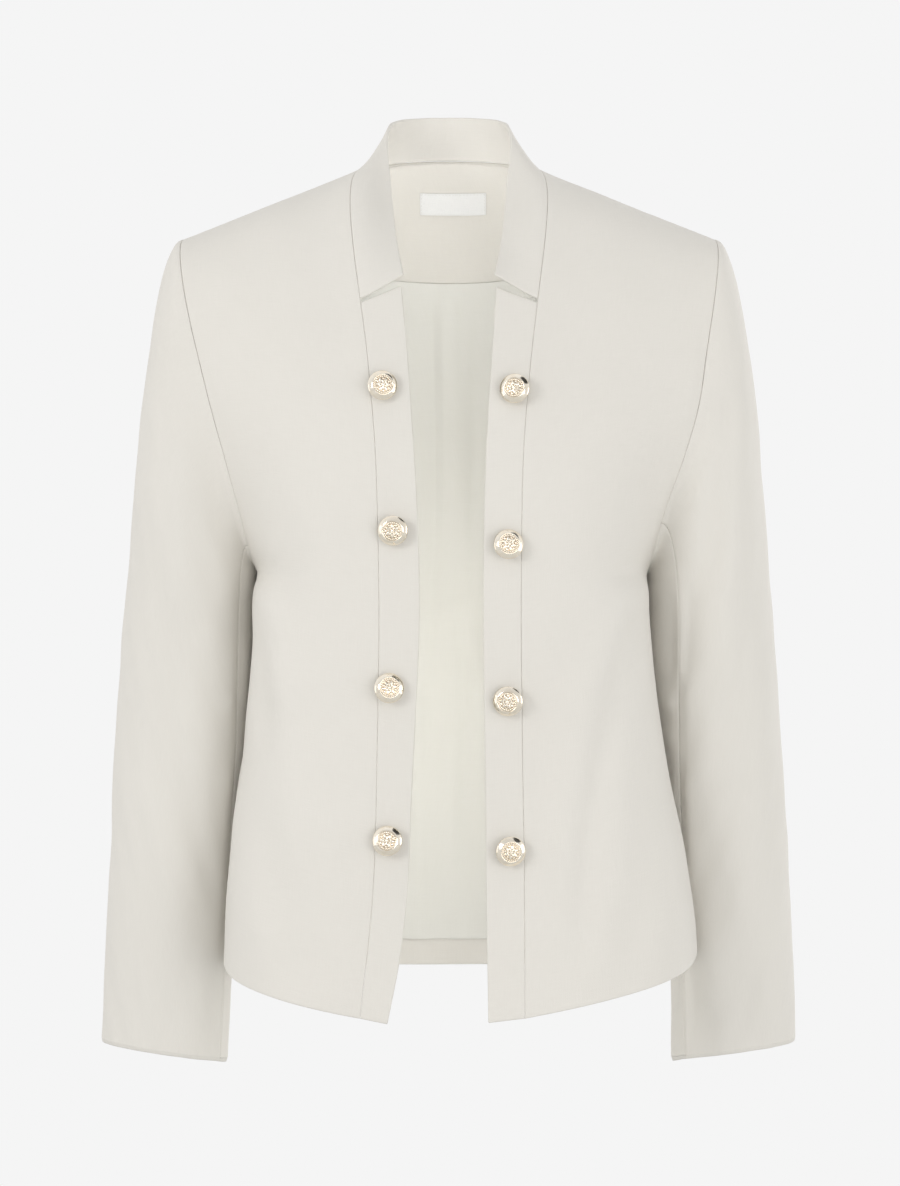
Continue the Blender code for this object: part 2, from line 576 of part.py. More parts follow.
def make_buttons(finish, parts):
    for side, sign in SIDES.items():
        for number, (x, z, lean, nod) in enumerate(zip(*BUTTONS[side].values()), 1):
            name = f"button_{side}_{number}"
            made = bpy.data.objects.new(name, button_mesh(name, finish))
            parts.objects.link(made)
            point, normal = band_place(side, x, z)
            seat = SEAM_GAP - float(BUTTON_PROFILE["height"][-1])
            place = mirrored(point + seat * normal, sign) * MM
            rise = math.asin(-normal[2])
            made.location = place.tolist()
            made.rotation_euler = (math.radians(90 + nod) + rise, 0, math.radians(lean))
            turn = made.modifiers.new("turned", "SCREW")
            turn.steps = BUTTON_STEPS
            turn.render_steps = BUTTON_STEPS
            turn.use_merge_vertices = True
            turn.merge_threshold = 0.00005


def main():
    for item in list(bpy.data.objects):
        bpy.data.objects.remove(item, do_unlink=True)
    parts = bpy.data.collections.new(NAME)
    bpy.context.scene.collection.children.link(parts)
    finishes = {
        "cloth": material("cream_suiting", (0.74, 0.72, 0.66), 0.85),
        "lining": material("cream_lining", (0.71, 0.70, 0.60), 0.6),
        "label": material("white_label", (0.90, 0.90, 0.88), 0.7),
        "metal": material("pale_gold", (0.93, 0.78, 0.55), 0.2, 1.0),
    }
    grids = make_body(finishes["cloth"], parts)
    make_bands(finishes["cloth"], parts)
    make_collar(finishes["cloth"], parts)
    for side, sign in SIDES.items():
        whole, front_seam, back_seam = sleeve_grid(side, grids[side])
        count = whole.shape[1]
        upper = whole[:, front_seam:back_seam + 1]
        under = whole[:, [column % count for column in range(back_seam, count + front_seam + 1)]]
        upper = fold(upper, FOLDS["sleeve_" + side], (1, 0, 0), seam_free(*upper.shape[:2]))
        for name, grid, outward in (("upper", upper, (1, 0, 0)), ("under", under, (-1, 0, 0))):
            ease = SEAM_GAP / 2 + np.where(np.arange(len(grid)) < CAP_EASE_ROWS, CAP_EASE, 0)
            grid = set_back(grid, ("first_column", "last_column"), ease[:, None])
            grid = set_back(grid, ("first_row",))
            outward = (outward[0] * sign, 0, 0)
            wall(f"sleeve_{name}_{side}", mirrored(grid, sign), outward, SHELL_WALL,
                 finishes["cloth"], parts)
    facing = make_inside(grids, finishes, parts)
    make_label(facing, finishes["label"], parts)
    make_buttons(finishes["metal"], parts)


main()
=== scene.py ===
"""Looks for the officer jacket: each piece of cloth as a thin shell on its solid's form,
with its folds, seams, weave, buttons and label.

Frame: metres, +Z up, +X to the wearer's left, the fronts face -Y. Tables are in
millimetres, with x counted outward from the middle of the body, as in the part's source.
"""
import json
import math

import bpy
import numpy as np
from mathutils import Euler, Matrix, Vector

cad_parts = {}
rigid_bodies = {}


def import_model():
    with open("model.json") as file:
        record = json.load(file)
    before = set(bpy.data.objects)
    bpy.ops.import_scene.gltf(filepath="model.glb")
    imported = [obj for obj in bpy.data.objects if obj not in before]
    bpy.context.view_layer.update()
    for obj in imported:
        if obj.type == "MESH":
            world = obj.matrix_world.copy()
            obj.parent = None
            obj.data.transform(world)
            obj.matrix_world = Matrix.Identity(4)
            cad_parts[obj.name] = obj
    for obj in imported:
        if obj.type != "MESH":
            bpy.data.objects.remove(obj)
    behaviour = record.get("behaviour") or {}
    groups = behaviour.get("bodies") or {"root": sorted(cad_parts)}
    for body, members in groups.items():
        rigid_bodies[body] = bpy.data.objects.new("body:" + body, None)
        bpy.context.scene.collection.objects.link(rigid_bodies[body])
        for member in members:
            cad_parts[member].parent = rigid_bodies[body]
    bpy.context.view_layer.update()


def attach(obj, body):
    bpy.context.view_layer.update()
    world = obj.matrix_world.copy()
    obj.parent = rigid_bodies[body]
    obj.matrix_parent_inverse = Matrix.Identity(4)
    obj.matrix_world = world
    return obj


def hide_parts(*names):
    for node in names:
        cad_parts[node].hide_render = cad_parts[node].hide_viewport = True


for item in list(bpy.data.objects):
    bpy.data.objects.remove(item, do_unlink=True)
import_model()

MM, TINY, SLIVER = .001, 1e-9, 1e-6     # metres in a millimetre, and two tolerances
SIDES = {"right": -1.0, "left": 1.0}

# ---------------------------------------------------------------- driving sizes (mm)
SHELL_WALL = 2.2        # outer cloth with its interlining
COLLAR_WALL = 2.4
FACING_WALL = 1.4
LINING_WALL = 1.0
SEAM_GAP = 0.3          # between two pieces at a seam, and between layers

NECK_POINT = (62.6, 5.0, -11.0)       # where collar, front and back meet on the shoulder
SHOULDER_POINT = (196.0, 6.0, -63.0)  # where the shoulder seam meets the sleeve head
BACK_NECK = (0.0, 56.0, 0.0)
UNDERARM = {"right": -312.0, "left": -314.0}
CENTRE_HEM = {"front": -629.0, "back": -608.0}
SIDE_HEM = {"right": -597.0, "left": -590.0}
CENTRE_YOKE = {"front": -114.0, "back": -125.0}   # height of the notch; same level behind
SIDE_YOKE = -148.0                                # the yoke line where it meets the armhole
SLEEVE_TOP = -345.0                               # first full ring below the underarm
CUFF_OUTER, CUFF_INNER = -661.0, -676.0
FACING_DROP = -89.0     # lower edge of the back neck facing at the centre
LINING_HEM = -588.0     # the lining ends above the back hem's turn-up
LABEL_CENTRE, LABEL_SIZE = (3.0, -31.0), (50.0, 15.6)   # x and z, as seen from the front
NECK_OUT = 33.0                        # the back neck seam leaves the centre straight out
NECK_AHEAD = np.array([-10.0, 26.0, 6.0])   # and reaches the neck point from here
# Directions in which the panels leave their top edges.
FRONT_LEAVES = {"neck": np.array([.36, -1, 0]), "shoulder": np.array([.15, -1, -.06])}
BACK_LEAVES = {"centre": np.array([0, .62, -.78]), "neck": np.array([.12, .98, -.12]),
               "shoulder": np.array([.15, .98, -.06])}
YOKE_HOLD, TOP_HOLD = .36, .38         # shares of its length for which a column keeps them
YOKE_STEP = .001                       # share of the height over which its start is read


def table(columns, *rows):
    """A short table with named columns, as one array for each column."""
    return {name: np.array(column, float) for name, column in zip(columns.split(), zip(*rows))}


# The seam between front and band, as seen from the front, and the band's free edge.
BAND_SEAM = {
    "right": table("z x y", (-629, 63.6, -112), (-545, 54.7, -112), (-430, 51.2, -111),
                   (-344, 50.0, -112), (-272, 51.0, -112), (-220, 53.0, -107),
                   (-171, 57.0, -96), (-143, 60.0, -87), (-114, 64.0, -78)),
    "left": table("z x y", (-629, 54.2, -112), (-545, 54.0, -112), (-430, 52.4, -111),
                  (-344, 51.6, -112), (-272, 52.0, -112), (-220, 53.6, -107),
                  (-171, 57.5, -96), (-143, 60.5, -87), (-114, 64.0, -78)),
}
BAND_EDGE = {
    "right": table("z x y", (-633, 44.0, -112.5), (-590, 35.6, -112.5), (-545, 30.0, -112.5),
                   (-477, 27.0, -112), (-418, 24.0, -111.5), (-344, 21.0, -112.5),
                   (-246, 23.5, -111), (-195, 26.8, -103), (-143, 30.5, -89), (-101.5, 34.6, -78)),
    "left": table("z x y", (-632, 28.0, -112.5), (-590, 27.4, -112.5), (-545, 26.6, -112.5),
                  (-477, 26.0, -112), (-418, 25.2, -111.5), (-344, 24.4, -112.5),
                  (-246, 25.6, -111), (-195, 28.0, -103), (-143, 31.5, -89), (-102.5, 34.2, -78)),
}
CENTRE_BACK = table("z x y", (-608, 0, 100), (-560, 0, 97), (-500, 0, 91), (-430, 0, 82),
                    (-365, 0, 79), (-300, 0, 84), (-235, 0, 92), (-175, 0, 97), (-125, 0, 97))
SIDE_SEAM = {
    "right": table("z x y", (-608, 166.0, -20), (-586, 165.2, -20), (-548, 163.7, -20),
                   (-499, 158.4, -20), (-434, 150.0, -20), (-383, 144.5, -20),
                   (-345, 141.5, -16), (-312, 140.6, -8)),
    "left": table("z x y", (-608, 183.0, -20), (-569, 181.3, -20), (-524, 174.8, -20),
                  (-493, 168.6, -20), (-434, 157.2, -20), (-381, 148.4, -20),
                  (-345, 145.8, -16), (-314, 145.2, -8)),
}
ARMHOLE = {
    ("front", "right"): table("z x y", (-312, 140.6, -8), (-304, 143.2, -20), (-287, 148.0, -32),
                              (-263, 154.0, -42), (-227, 163.5, -50), (-190, 173.5, -54),
                              (-148, 184.0, -50)),
    ("front", "left"): table("z x y", (-314, 145.2, -8), (-305, 147.0, -20), (-287, 151.5, -32),
                             (-259, 159.8, -42), (-227, 171.0, -50), (-190, 181.5, -54),
                             (-148, 188.0, -50)),
    ("back", "right"): table("z x y", (-312, 140.6, -8), (-304, 139.6, 8), (-287, 137.5, 24),
                             (-263, 142.0, 38), (-227, 154.0, 52), (-190, 168.5, 59),
                             (-148, 184.0, 60)),
    ("back", "left"): table("z x y", (-314, 145.2, -8), (-305, 144.0, 8), (-287, 142.0, 24),
                            (-259, 148.0, 39), (-227, 160.0, 52), (-190, 174.0, 59),
                            (-148, 188.0, 60)),
}
# How a row arrives at the side: its heading in plan (90 = straight along the side seam),
# then how far each end's direction is held, as a share of the row's length.
ROW_ENDS = {
    "front": table("z heading start end", (-620, 90, .44, .40), (-440, 90, .44, .40),
                   (-314, 90, .43, .39), (-287, 74, .42, .37), (-240, 54, .40, .35),
                   (-195, 38, .39, .34), (-148, 26, .38, .33)),
    "back": table("z heading start end", (-620, 90, .42, .33), (-440, 90, .44, .31),
                  (-314, 90, .44, .31), (-287, 65, .43, .28), (-240, 52, .42, .30),
                  (-195, 41, .41, .33), (-148, 34, .40, .33)),
}
# Right and left sleeves from the first full ring to the cuff.
SLEEVE = {
    "right": table("z outer inner middle half_depth seam", (-345, 242, 143.5, 12, 55, 44),
                   (-390, 245.5, 145, 16, 52.5, 43), (-434, 248.5, 148, 20, 50, 39),
                   (-520, 253.5, 156, 29, 45.5, 35), (-600, 257.5, 161, 38, 40.5, 33),
                   (-680, 260.5, 165, 43, 37, 33)),
    "left": table("z outer inner middle half_depth seam", (-345, 241, 148.5, 14, 55, 49),
                  (-390, 244.5, 149.5, 20, 52.5, 47), (-434, 248, 152, 27, 50, 44),
                  (-520, 254, 160, 39, 45.5, 36), (-600, 258.5, 164.5, 47, 40.5, 30),
                  (-680, 261.5, 167, 50, 37, 29)),
}
BACK_SLEEVE_SEAM = 62.0     # degrees behind the sleeve's inmost line
HEAD_RISE = .38             # how much the sleeve head stands up from the armhole seam
HEAD_RISE_ALONG = .1, .6    # and where along the armhole that grows
RING_STEP = 5.0             # the ring below the first that gives the sleeve's direction
# From the underarm (0) over the front or back to the shoulder point (1), by length along
# the armhole: the angle reached on the sleeve's ring, how far the cap leaves the armhole
# in line with the body, and how far it follows the sleeve's own direction.
CAP = table("along angle leave arrive", (0, 0, 8, 1.12), (.13, 44, 9, .90), (.30, 76, 12, .62),
            (.50, 105, 15, .52), (.75, 140, 17, .60), (1, 180, 18, .68))
# The collar's free edge, matched to stations along the neck seam: from the notch (0)
# to the neck point (1), then to the centre back (2).
COLLAR_EDGE = table("along x y z", (0, 33, -82, -96), (.35, 38.5, -51, -62), (.62, 42.5, -22, -22),
                    (.82, 45.5, -6, 6), (1, 45, 8, 20), (1.3, 39.5, 33, 28), (1.65, 21, 54, 32),
                    (2, 0, 61, 33))
COLLAR_LIFT = np.array([0, -.16, .16])    # the collar stands a little proud of the fronts
COLLAR_HOLDS = .36, .33                   # shares of its width held in line at seam and edge
COLLAR_FREE = 1.0, .75                    # it lies on the fronts below this station
# The largest soft folds: a line on a piece (x and z of each end, as seen from the front),
# the width of the fold and its rise, negative for a trough.
FOLDS = {
    "front_left": table("x0 z0 x1 z1 width rise", (138, -316, 99, -402, 15, 3.0),
                        (99, -402, 79, -560, 17, 2.7), (126, -322, 76, -392, 22, -1.0)),
    "front_right": table("x0 z0 x1 z1 width rise", (141, -314, 122, -400, 15, 2.4),
                         (122, -400, 112, -560, 20, 1.6)),
    "sleeve_left": table("x0 z0 x1 z1 width rise", (198, -214, 162, -360, 11, 2.2),
                         (226, -250, 214, -470, 16, -1.6), (182, -400, 214, -560, 18, 1.5)),
    "sleeve_right": table("x0 z0 x1 z1 width rise", (205, -200, 186, -345, 15, 1.6),
                          (228, -270, 216, -500, 18, -1.5), (184, -430, 205, -600, 18, 1.4)),
}
FOLD_FADE = .25             # share of its length over which a fold rises at each end
# Buttons on the bands, top to bottom: place as seen from the front, and tilt in degrees.
BUTTONS = {
    "right": table("x z lean nod", (48.0, -180.5, 9, 6), (39.6, -283, -7, 9), (43.0, -394, 8, -8),
                   (43.6, -502, -6, -5)),
    "left": table("x z lean nod", (47.3, -183, -9, 5), (42.0, -293, 8, -9), (42.3, -403, -8, 7),
                  (43.6, -509, 7, 8)),
}

# ---------------------------------------------------------------- stations of the rows
UNDERARM_STATION = {side: (UNDERARM[side] - SIDE_HEM[side]) / (SIDE_YOKE - SIDE_HEM[side])
                    for side in SIDES}
BELOW_UNDERARM = (0, .12, .26, .40, .55, .70, .84, .96, 1)
ABOVE_UNDERARM = (.05, .13, .24, .38, .56, .78, 1)
OVER_SHOULDER = (.20, .40, .60, .80, .95, 1)
ACROSS = (0, .03, .13, .26, .40, .54, .67, .79, .89, .97, 1)
ACROSS_NECK = (0, .30, .60, .85)
NECK_SHARE = .30            # share of a back row that lies below the neck
CAP_STEPS = (0, .05, .16, .30, .46, .64, .82, 1)
SLEEVE_STEPS = (.12, .25, .38, .52, .66, .80, .92, 1)
ACROSS_BAND = (0, .35, .7, 1)
BAND_STEP = .01             # share of the band's height over which its direction is read
ACROSS_COLLAR = (0, .2, .45, .7, 1)
COLLAR_NOTCH, BAND_NOTCH = .012, .002   # how far collar and band stop short of the notch


# ---------------------------------------------------------------- curves and surfaces
def read(tab, column, at):
    """A table's column on a smooth curve through its rows, which its first column orders."""
    stations, values = next(iter(tab.values())), tab[column]
    if stations[0] > stations[-1]:
        stations, values = stations[::-1], values[::-1]
    slopes = np.gradient(values, stations)
    at = np.clip(np.asarray(at, float), stations[0], stations[-1])
    cell = np.clip(np.searchsorted(stations, at, side="right") - 1, 0, len(stations) - 2)
    span = stations[cell + 1] - stations[cell]
    t = (at - stations[cell]) / span
    return (values[cell] * (1 + 2 * t) * (1 - t) ** 2 + slopes[cell] * span * t * (1 - t) ** 2
            + values[cell + 1] * t * t * (3 - 2 * t) + slopes[cell + 1] * span * t * t * (t - 1))


def on_curve(tab, z):
    """Points of a boundary curve at heights z."""
    return np.stack([read(tab, "x", z), read(tab, "y", z), np.asarray(z, float)], -1)


def bezier(p0, p1, p2, p3, t):
    s = 1 - t
    return s ** 3 * p0 + 3 * s * s * t * p1 + 3 * s * t * t * p2 + t ** 3 * p3


def mix(start, end, share):
    """Vectors from start (share 0) to end (1)."""
    share = np.asarray(share, float)[:, None]
    return start * (1 - share) + end * share


def unit(vectors):
    return vectors / np.linalg.norm(vectors, axis=-1, keepdims=True)


def smoothstep(low, high, value):
    t = np.clip((value - low) / (high - low), 0, 1)
    return t * t * (3 - 2 * t)


def lower_panel(face, side, rise, across):
    """A front or back from the hem (rise 0) to the yoke line (1), and from the centre
    (across 0) to the side seam or armhole (1). Each row is one Bezier."""
    rise, across = np.asarray(rise, float)[:, None], np.asarray(across, float)[None, :]
    centre_z = CENTRE_HEM[face] + rise[:, 0] * (CENTRE_YOKE[face] - CENTRE_HEM[face])
    side_z = SIDE_HEM[side] + rise[:, 0] * (SIDE_YOKE - SIDE_HEM[side])
    inner = on_curve(BAND_SEAM[side] if face == "front" else CENTRE_BACK, centre_z)
    above = (side_z > UNDERARM[side])[:, None]
    outer = np.where(above, on_curve(ARMHOLE[face, side], side_z),
                     on_curve(SIDE_SEAM[side], side_z))
    ends = ROW_ENDS[face]
    heading = np.radians(read(ends, "heading", side_z))
    behind = 1.0 if face == "front" else -1.0
    arrive = np.stack([np.cos(heading), behind * np.sin(heading), 0 * heading], -1)
    length = np.linalg.norm((outer - inner)[:, :2], axis=-1)
    out = np.array([1.0, 0, 0])
    first = inner + (read(ends, "start", side_z) * length)[:, None] * out
    last = outer - (read(ends, "end", side_z) * length)[:, None] * arrive
    grid = bezier(inner[:, None], first[:, None], last[:, None], outer[:, None], across[..., None])
    level = across if face == "front" else across ** 2
    grid[..., 2] = centre_z[:, None] + (side_z - centre_z)[:, None] * level
    return grid


def neck_curve(turn):
    """The back neck seam from the centre (turn 0) to the neck point (1)."""
    turn = np.asarray(turn, float)[:, None]
    return bezier(np.array(BACK_NECK), np.array(BACK_NECK) + (NECK_OUT, 0, 0),
                  np.array(NECK_POINT) + NECK_AHEAD, np.array(NECK_POINT), turn)


def shoulder_seam(across):
    return mix(np.array(NECK_POINT), np.array(SHOULDER_POINT), across)


def over_shoulder(face, side, turn, across, top, leave):
    """A panel from the yoke line (turn 0) to its top edge (turn 1), one Bezier a column,
    leaving the top edge along the direction leave."""
    start, before = lower_panel(face, side, (1, 1 - YOKE_STEP), across)
    length = np.linalg.norm(top - start, axis=-1, keepdims=True)
    first = start + YOKE_HOLD * length * unit(start - before)
    last = top + TOP_HOLD * length * unit(leave)
    turn = np.asarray(turn, float)[:, None, None]
    return bezier(start[None], first[None], last[None], top[None], turn)


def front_top(side, turn, across):
    across = np.asarray(across, float)
    leave = mix(FRONT_LEAVES["neck"], FRONT_LEAVES["shoulder"], across)
    return over_shoulder("front", side, turn, across, shoulder_seam(across), leave)


def back_columns(neck, across):
    """Shares of a back row: those below the neck seam, then those below the shoulder."""
    neck, across = np.asarray(neck, float), np.asarray(across, float)
    return np.concatenate([neck * NECK_SHARE, NECK_SHARE + across * (1 - NECK_SHARE)])


def back_top(side, turn, neck, across):
    neck, across = np.asarray(neck, float), np.asarray(across, float)
    top = np.concatenate([neck_curve(neck), shoulder_seam(across)])
    below_neck = mix(BACK_LEAVES["centre"], BACK_LEAVES["neck"], smoothstep(0, 1, neck))
    below_shoulder = mix(BACK_LEAVES["neck"], BACK_LEAVES["shoulder"], across)
    leave = np.concatenate([below_neck, below_shoulder])
    return over_shoulder("back", side, turn, back_columns(neck, across), top, leave)


def mirrored(grid, sign):
    return grid * np.array([sign, 1.0, 1.0])


def set_back(grid, edges, distance):
    """Move the named edges of a grid inward, so that the seam there keeps its gap. The
    distance may be a column of one value a row."""
    grid = grid.copy()
    views = {"first_row": (grid[0], grid[1]), "last_row": (grid[-1], grid[-2]),
             "first_column": (grid[:, 0], grid[:, 1]), "last_column": (grid[:, -1], grid[:, -2])}
    for edge in edges:
        line, neighbour = views[edge]
        line += distance * unit(neighbour - line)
    return grid


def normals(grid, outward):
    """Unit normals of a grid, on the side that faces outward at its middle."""
    down, along = np.gradient(grid, axis=0), np.gradient(grid, axis=1)
    found = unit(np.cross(down, along))
    middle = found[len(found) // 2, found.shape[1] // 2]
    return found * math.copysign(1.0, float(middle @ np.array(outward)))


# ---------------------------------------------------------------- sleeves
def sleeve_ring(side, z, angle):
    """Points of the sleeve below its cap. Angle 0 is the inmost line, 90 the front."""
    rows = SLEEVE[side]
    z, angle = np.broadcast_arrays(np.asarray(z, float), np.radians(np.asarray(angle, float)))
    outer, inner = read(rows, "outer", z), read(rows, "inner", z)
    x = (outer + inner) / 2 - (outer - inner) / 2 * np.cos(angle)
    y = read(rows, "middle", z) - read(rows, "half_depth", z) * np.sin(angle)
    return np.stack([x, y, z], -1)


def armhole_edge(grids):
    """The armhole from the underarm over the front to the shoulder point and down the
    back, with the direction in which the body's cloth would run on through it."""
    edges, runs = [], []
    for face in ("front", "back"):
        grid = grids[face][UNDERARM_ROW:]
        edge, ahead = grid[:, -1], unit(grid[:, -1] - grid[:, -2])
        along = unit(np.gradient(edge, axis=0))
        edges.append(edge)
        ahead = unit(ahead - (ahead * along).sum(-1, keepdims=True) * along)
        out = np.cross(along, ahead) * (1 if face == "back" else -1)
        rise = HEAD_RISE * smoothstep(*HEAD_RISE_ALONG, np.linspace(0, 1, len(edge)))
        runs.append(unit(ahead + rise[:, None] * out))
    for place in (0, -1):
        runs[0][place] = unit(runs[0][place] + runs[1][place])
    edge = np.concatenate([edges[0], edges[1][-2:0:-1]])
    run = np.concatenate([runs[0], runs[1][-2:0:-1]])
    along = [np.linalg.norm(np.diff(part, axis=0), axis=-1).cumsum() for part in edges]
    share = [np.concatenate([[0], part]) / part[-1] for part in along]
    return edge, run, np.concatenate([share[0], share[1][-2:0:-1]]), len(edges[0]) - 1


def through_loop(values, parts):
    """A closed loop of vectors, with so many smooth steps between one and the next."""
    before, after = np.roll(values, 1, axis=0), np.roll(values, -1, axis=0)
    beyond = np.roll(values, -2, axis=0)
    steps = []
    for t in np.arange(parts) / parts:
        steps.append(.5 * (2 * values + (after - before) * t
                           + (2 * before - 5 * values + 4 * after - beyond) * t ** 2
                           + (3 * values - before - 3 * after + beyond) * t ** 3))
    return np.stack(steps, axis=1).reshape(-1, values.shape[-1])


def sleeve_grid(side, grids):
    """The whole sleeve: a row a ring from armhole to cuff, a column a station of the
    armhole, starting at the underarm and going up the front."""
    edge, run, share, top = armhole_edge(grids)
    angle = read(CAP, "angle", share)
    angle[top + 1:] *= -1
    start = float(read(SLEEVE[side], "seam", SLEEVE_TOP))
    wide = np.arange(0, len(angle), PARTS_ABOVE)
    run = unit(through_loop(run[wide], PARTS_ABOVE))
    seams = [int(wide[np.argmin(np.abs(angle[wide] - place))])
             for place in (start, -BACK_SLEEVE_SEAM)]
    ring = sleeve_ring(side, SLEEVE_TOP, angle)
    upward = unit(ring - sleeve_ring(side, SLEEVE_TOP - RING_STEP, angle))
    reach = np.linalg.norm(ring - edge, axis=-1)
    first = edge + read(CAP, "leave", share)[:, None] * run
    last = ring + (read(CAP, "arrive", share) * reach)[:, None] * upward
    steps = finer(CAP_STEPS, CELL_CAP)[:, None, None]
    cap = bezier(edge[None], first[None], last[None], ring[None], steps)
    rings = [cap]
    cuff = (CUFF_OUTER + CUFF_INNER) / 2 + (CUFF_INNER - CUFF_OUTER) / 2 * np.cos(np.radians(angle))
    for step in finer((0,) + SLEEVE_STEPS, CELL_SLEEVE)[1:]:
        z = SLEEVE_TOP + step * (cuff - SLEEVE_TOP)
        seam = read(SLEEVE[side], "seam", z)
        size = np.abs(angle)
        turned = np.where(size < start, size * seam / start,
                          180 - (180 - size) * (180 - seam) / (180 - start))
        turned = np.where(angle < 0, angle, turned)
        rings.append(sleeve_ring(side, z, turned)[None])
    return np.concatenate(rings), *seams


def band_grid(side, rise, across):
    """The band from its seam (across 0) to its free edge (1)."""
    rise, across = np.asarray(rise, float), np.asarray(across, float)[None, :, None]
    seam_z = CENTRE_HEM["front"] + rise * (CENTRE_YOKE["front"] - CENTRE_HEM["front"])
    edge_rows = BAND_EDGE[side]
    low, high = edge_rows["z"][0], edge_rows["z"][-1]
    seam, edge = on_curve(BAND_SEAM[side], seam_z), on_curve(edge_rows, low + rise * (high - low))
    return seam[:, None] * (1 - across) + edge[:, None] * across


def collar_half(side, turn_notch, turn_neck, across):
    """Half a collar: rows from the notch round to the centre back, columns from the neck
    seam to the free edge. It leaves the front in line with it, and stands up behind."""
    beside_front = front_top(side, turn_notch, (0.0, ACROSS[1]))
    seam = np.concatenate([beside_front[:, 0], neck_curve(1 - np.asarray(turn_neck))])
    along = np.concatenate([turn_notch, 1 + np.asarray(turn_neck)])
    edge = np.stack([read(COLLAR_EDGE, axis, along) for axis in "xyz"], -1)
    width = np.linalg.norm(edge - seam, axis=-1, keepdims=True)
    stand = unit(edge - seam)
    in_line = stand.copy()
    in_line[:len(turn_notch)] = unit(beside_front[:, 0] - beside_front[:, 1])
    lies = smoothstep(*COLLAR_FREE, along)[:, None]
    leave = unit(lies * (in_line + COLLAR_LIFT) + (1 - lies) * stand)
    first, last = seam + COLLAR_HOLDS[0] * width * leave, edge - COLLAR_HOLDS[1] * width * stand
    across = np.asarray(across, float)[None, :, None]
    return bezier(seam[:, None], first[:, None], last[:, None], edge[:, None], across)


def band_place(side, x, z):
    """A point on the band's outer face and the face's normal, at (x, z) from the front."""
    rise = (z - CENTRE_HEM["front"]) / (CENTRE_YOKE["front"] - CENTRE_HEM["front"])
    rows = band_grid(side, (rise - BAND_STEP, rise, rise + BAND_STEP), (0, 1))
    seam, edge = rows[1]
    share = (x - seam[0]) / (edge[0] - seam[0])
    point = seam + share * (edge - seam)
    normal = unit(np.cross(rows[2, 0] - rows[0, 0], edge - seam))
    return point, normal * math.copysign(1.0, -normal[1])


# ---------------------------------------------------------------- the scene's own sizes
SEAM_HALF = .06             # half the gap at a seam
# Radii of sewn and folded edges, what stays flat between an outer and an inner one, and the
# most of a cell that a rounding takes.
SEAM_ROUND, EDGE_ROUND, RIM_FLAT, RIM_CELL = .55, 1.0, .02, .96
EASE_PASSES, EASE_BORDER, EASE_RATE = 60, 22.0, .25
HEM_TURN = 30.0             # depth of the turned-up hems inside fronts and sleeves
FACING_TRIM, LINING_TRIM = 13, 4    # lines of the back that each leaves bare at a side
FACING_SETBACK = .5         # how far the facing's top stops short of the neck seam
FACING_THIN, THIN_REACH = .62, (9, 1)   # share of its wall that it loses there, and over what
LINING_EASE = .4            # how far the lining stands off the back, at the most
# The lining's ease pleat: its two edges in x, its rise and foot, the share of the rise below
# the foot and what it gains above, the heights over which it starts above the hem, what is
# left of it at the facing, and the mm below the facing over which it fades.
PLEAT, PLEAT_RISE, PLEAT_FOOT = (-7.0, 5.0), 2.4, -360.0
PLEAT_SHARES, PLEAT_HEM, PLEAT_TOP, PLEAT_FADE = (.35, .75), (-560, -420), .12, 22.0
PLEAT_EDGES = (-.8, .8), (5, -1)    # mm about each edge over which the lap rises
LABEL_FLAT, LABEL_BOW, LABEL_FINE = .55, .9, (49, 17)
LABEL_FLATNESS, LABEL_LOOSE = 4, (.2, -.5)  # its bow: power across, and from where downward
LABEL_RIPPLE = .06, 9, 4    # height, and turns along and across in radians
LABEL_INSET = 1             # grid lines between its edges and the stitches
STITCH, STITCH_GAP, STITCH_RADIUS, STITCH_CORNERS = 1.7, .9, .17, 6
# Sections along a stitch: share of its length, then lift and size in shares of its radius.
STITCH_ALONG = np.array((0, .12, .5, .88, 1))
STITCH_LIFT = np.array((-.6, .35, .7, .35, -.6))
STITCH_FULL = np.array((.45, .9, 1, .9, .45))
BUTTON_AROUND = 112         # corners of a button's rings
FIELD_RADIUS, FIELD_STEP, FIELD_TOP, FIELD_FALL = 6.6, .20, 6.45, .55
# Sections of the rim and the back, as (radius, height).
BUTTON_RIM = ((6.75, 5.72), (6.95, 5.80), (7.10, 6.05), (7.3, 6.16), (7.6, 6.10), (8.1, 5.78),
              (8.8, 5.24), (9.5, 4.68), (10.1, 4.16), (10.45, 3.78), (10.68, 3.42), (10.8, 3.0),
              (10.72, 2.66), (10.5, 2.4))
BUTTON_BACK = ((10.1, 2.15), (7.5, 1.7), (2.9, 1.35), (2.7, 1.1), (2.7, -1.6), (2.5, -2.3),
               (1.9, -2.8), (.9, -3.1))
# The relief: a boss, rounds of petals (count, from and to radius, turn, rise) and beads.
BOSS_RADIUS, BOSS_RISE = 1.05, .50
PETALS = ((6, 1.0, 3.5, .2, .62), (6, 2.4, 5.0, .2 + math.pi / 6, .50), (12, 4.1, 5.4, .2, .32))
PETAL_POINT, PETAL_ARCH, PETAL_ARCH_POWER = 2.2, .55, 1.5
PETAL_FOOT, PETAL_TIP = (-.25, .2), (.12, -.35)     # radii over which a petal rises and ends
VEIN_DEPTH, VEIN_WIDTH = .30, .12
BEADS, BEAD_RING, BEAD_RADIUS, BEAD_RISE = 26, 6.02, .56, .42
BUTTON_DISH = .1            # how far the middle of the back stands out
GRAIN_HEIGHT, GRAIN_BORDER = .05, 1.2
GRAIN_WAVES = (9.7, 13), (31, 4.1)  # of its two waves: radians to the mm outward, and turns
HOLLOW_SHADE_HEIGHTS = .16, .03   # relief heights between which the gold turns dark with painted shade, for the shade in its low parts
SPINS = {"right": (.3, 1.9, 2.6, 4.4), "left": (1.1, 5.2, 3.3, .7)}     # in radians
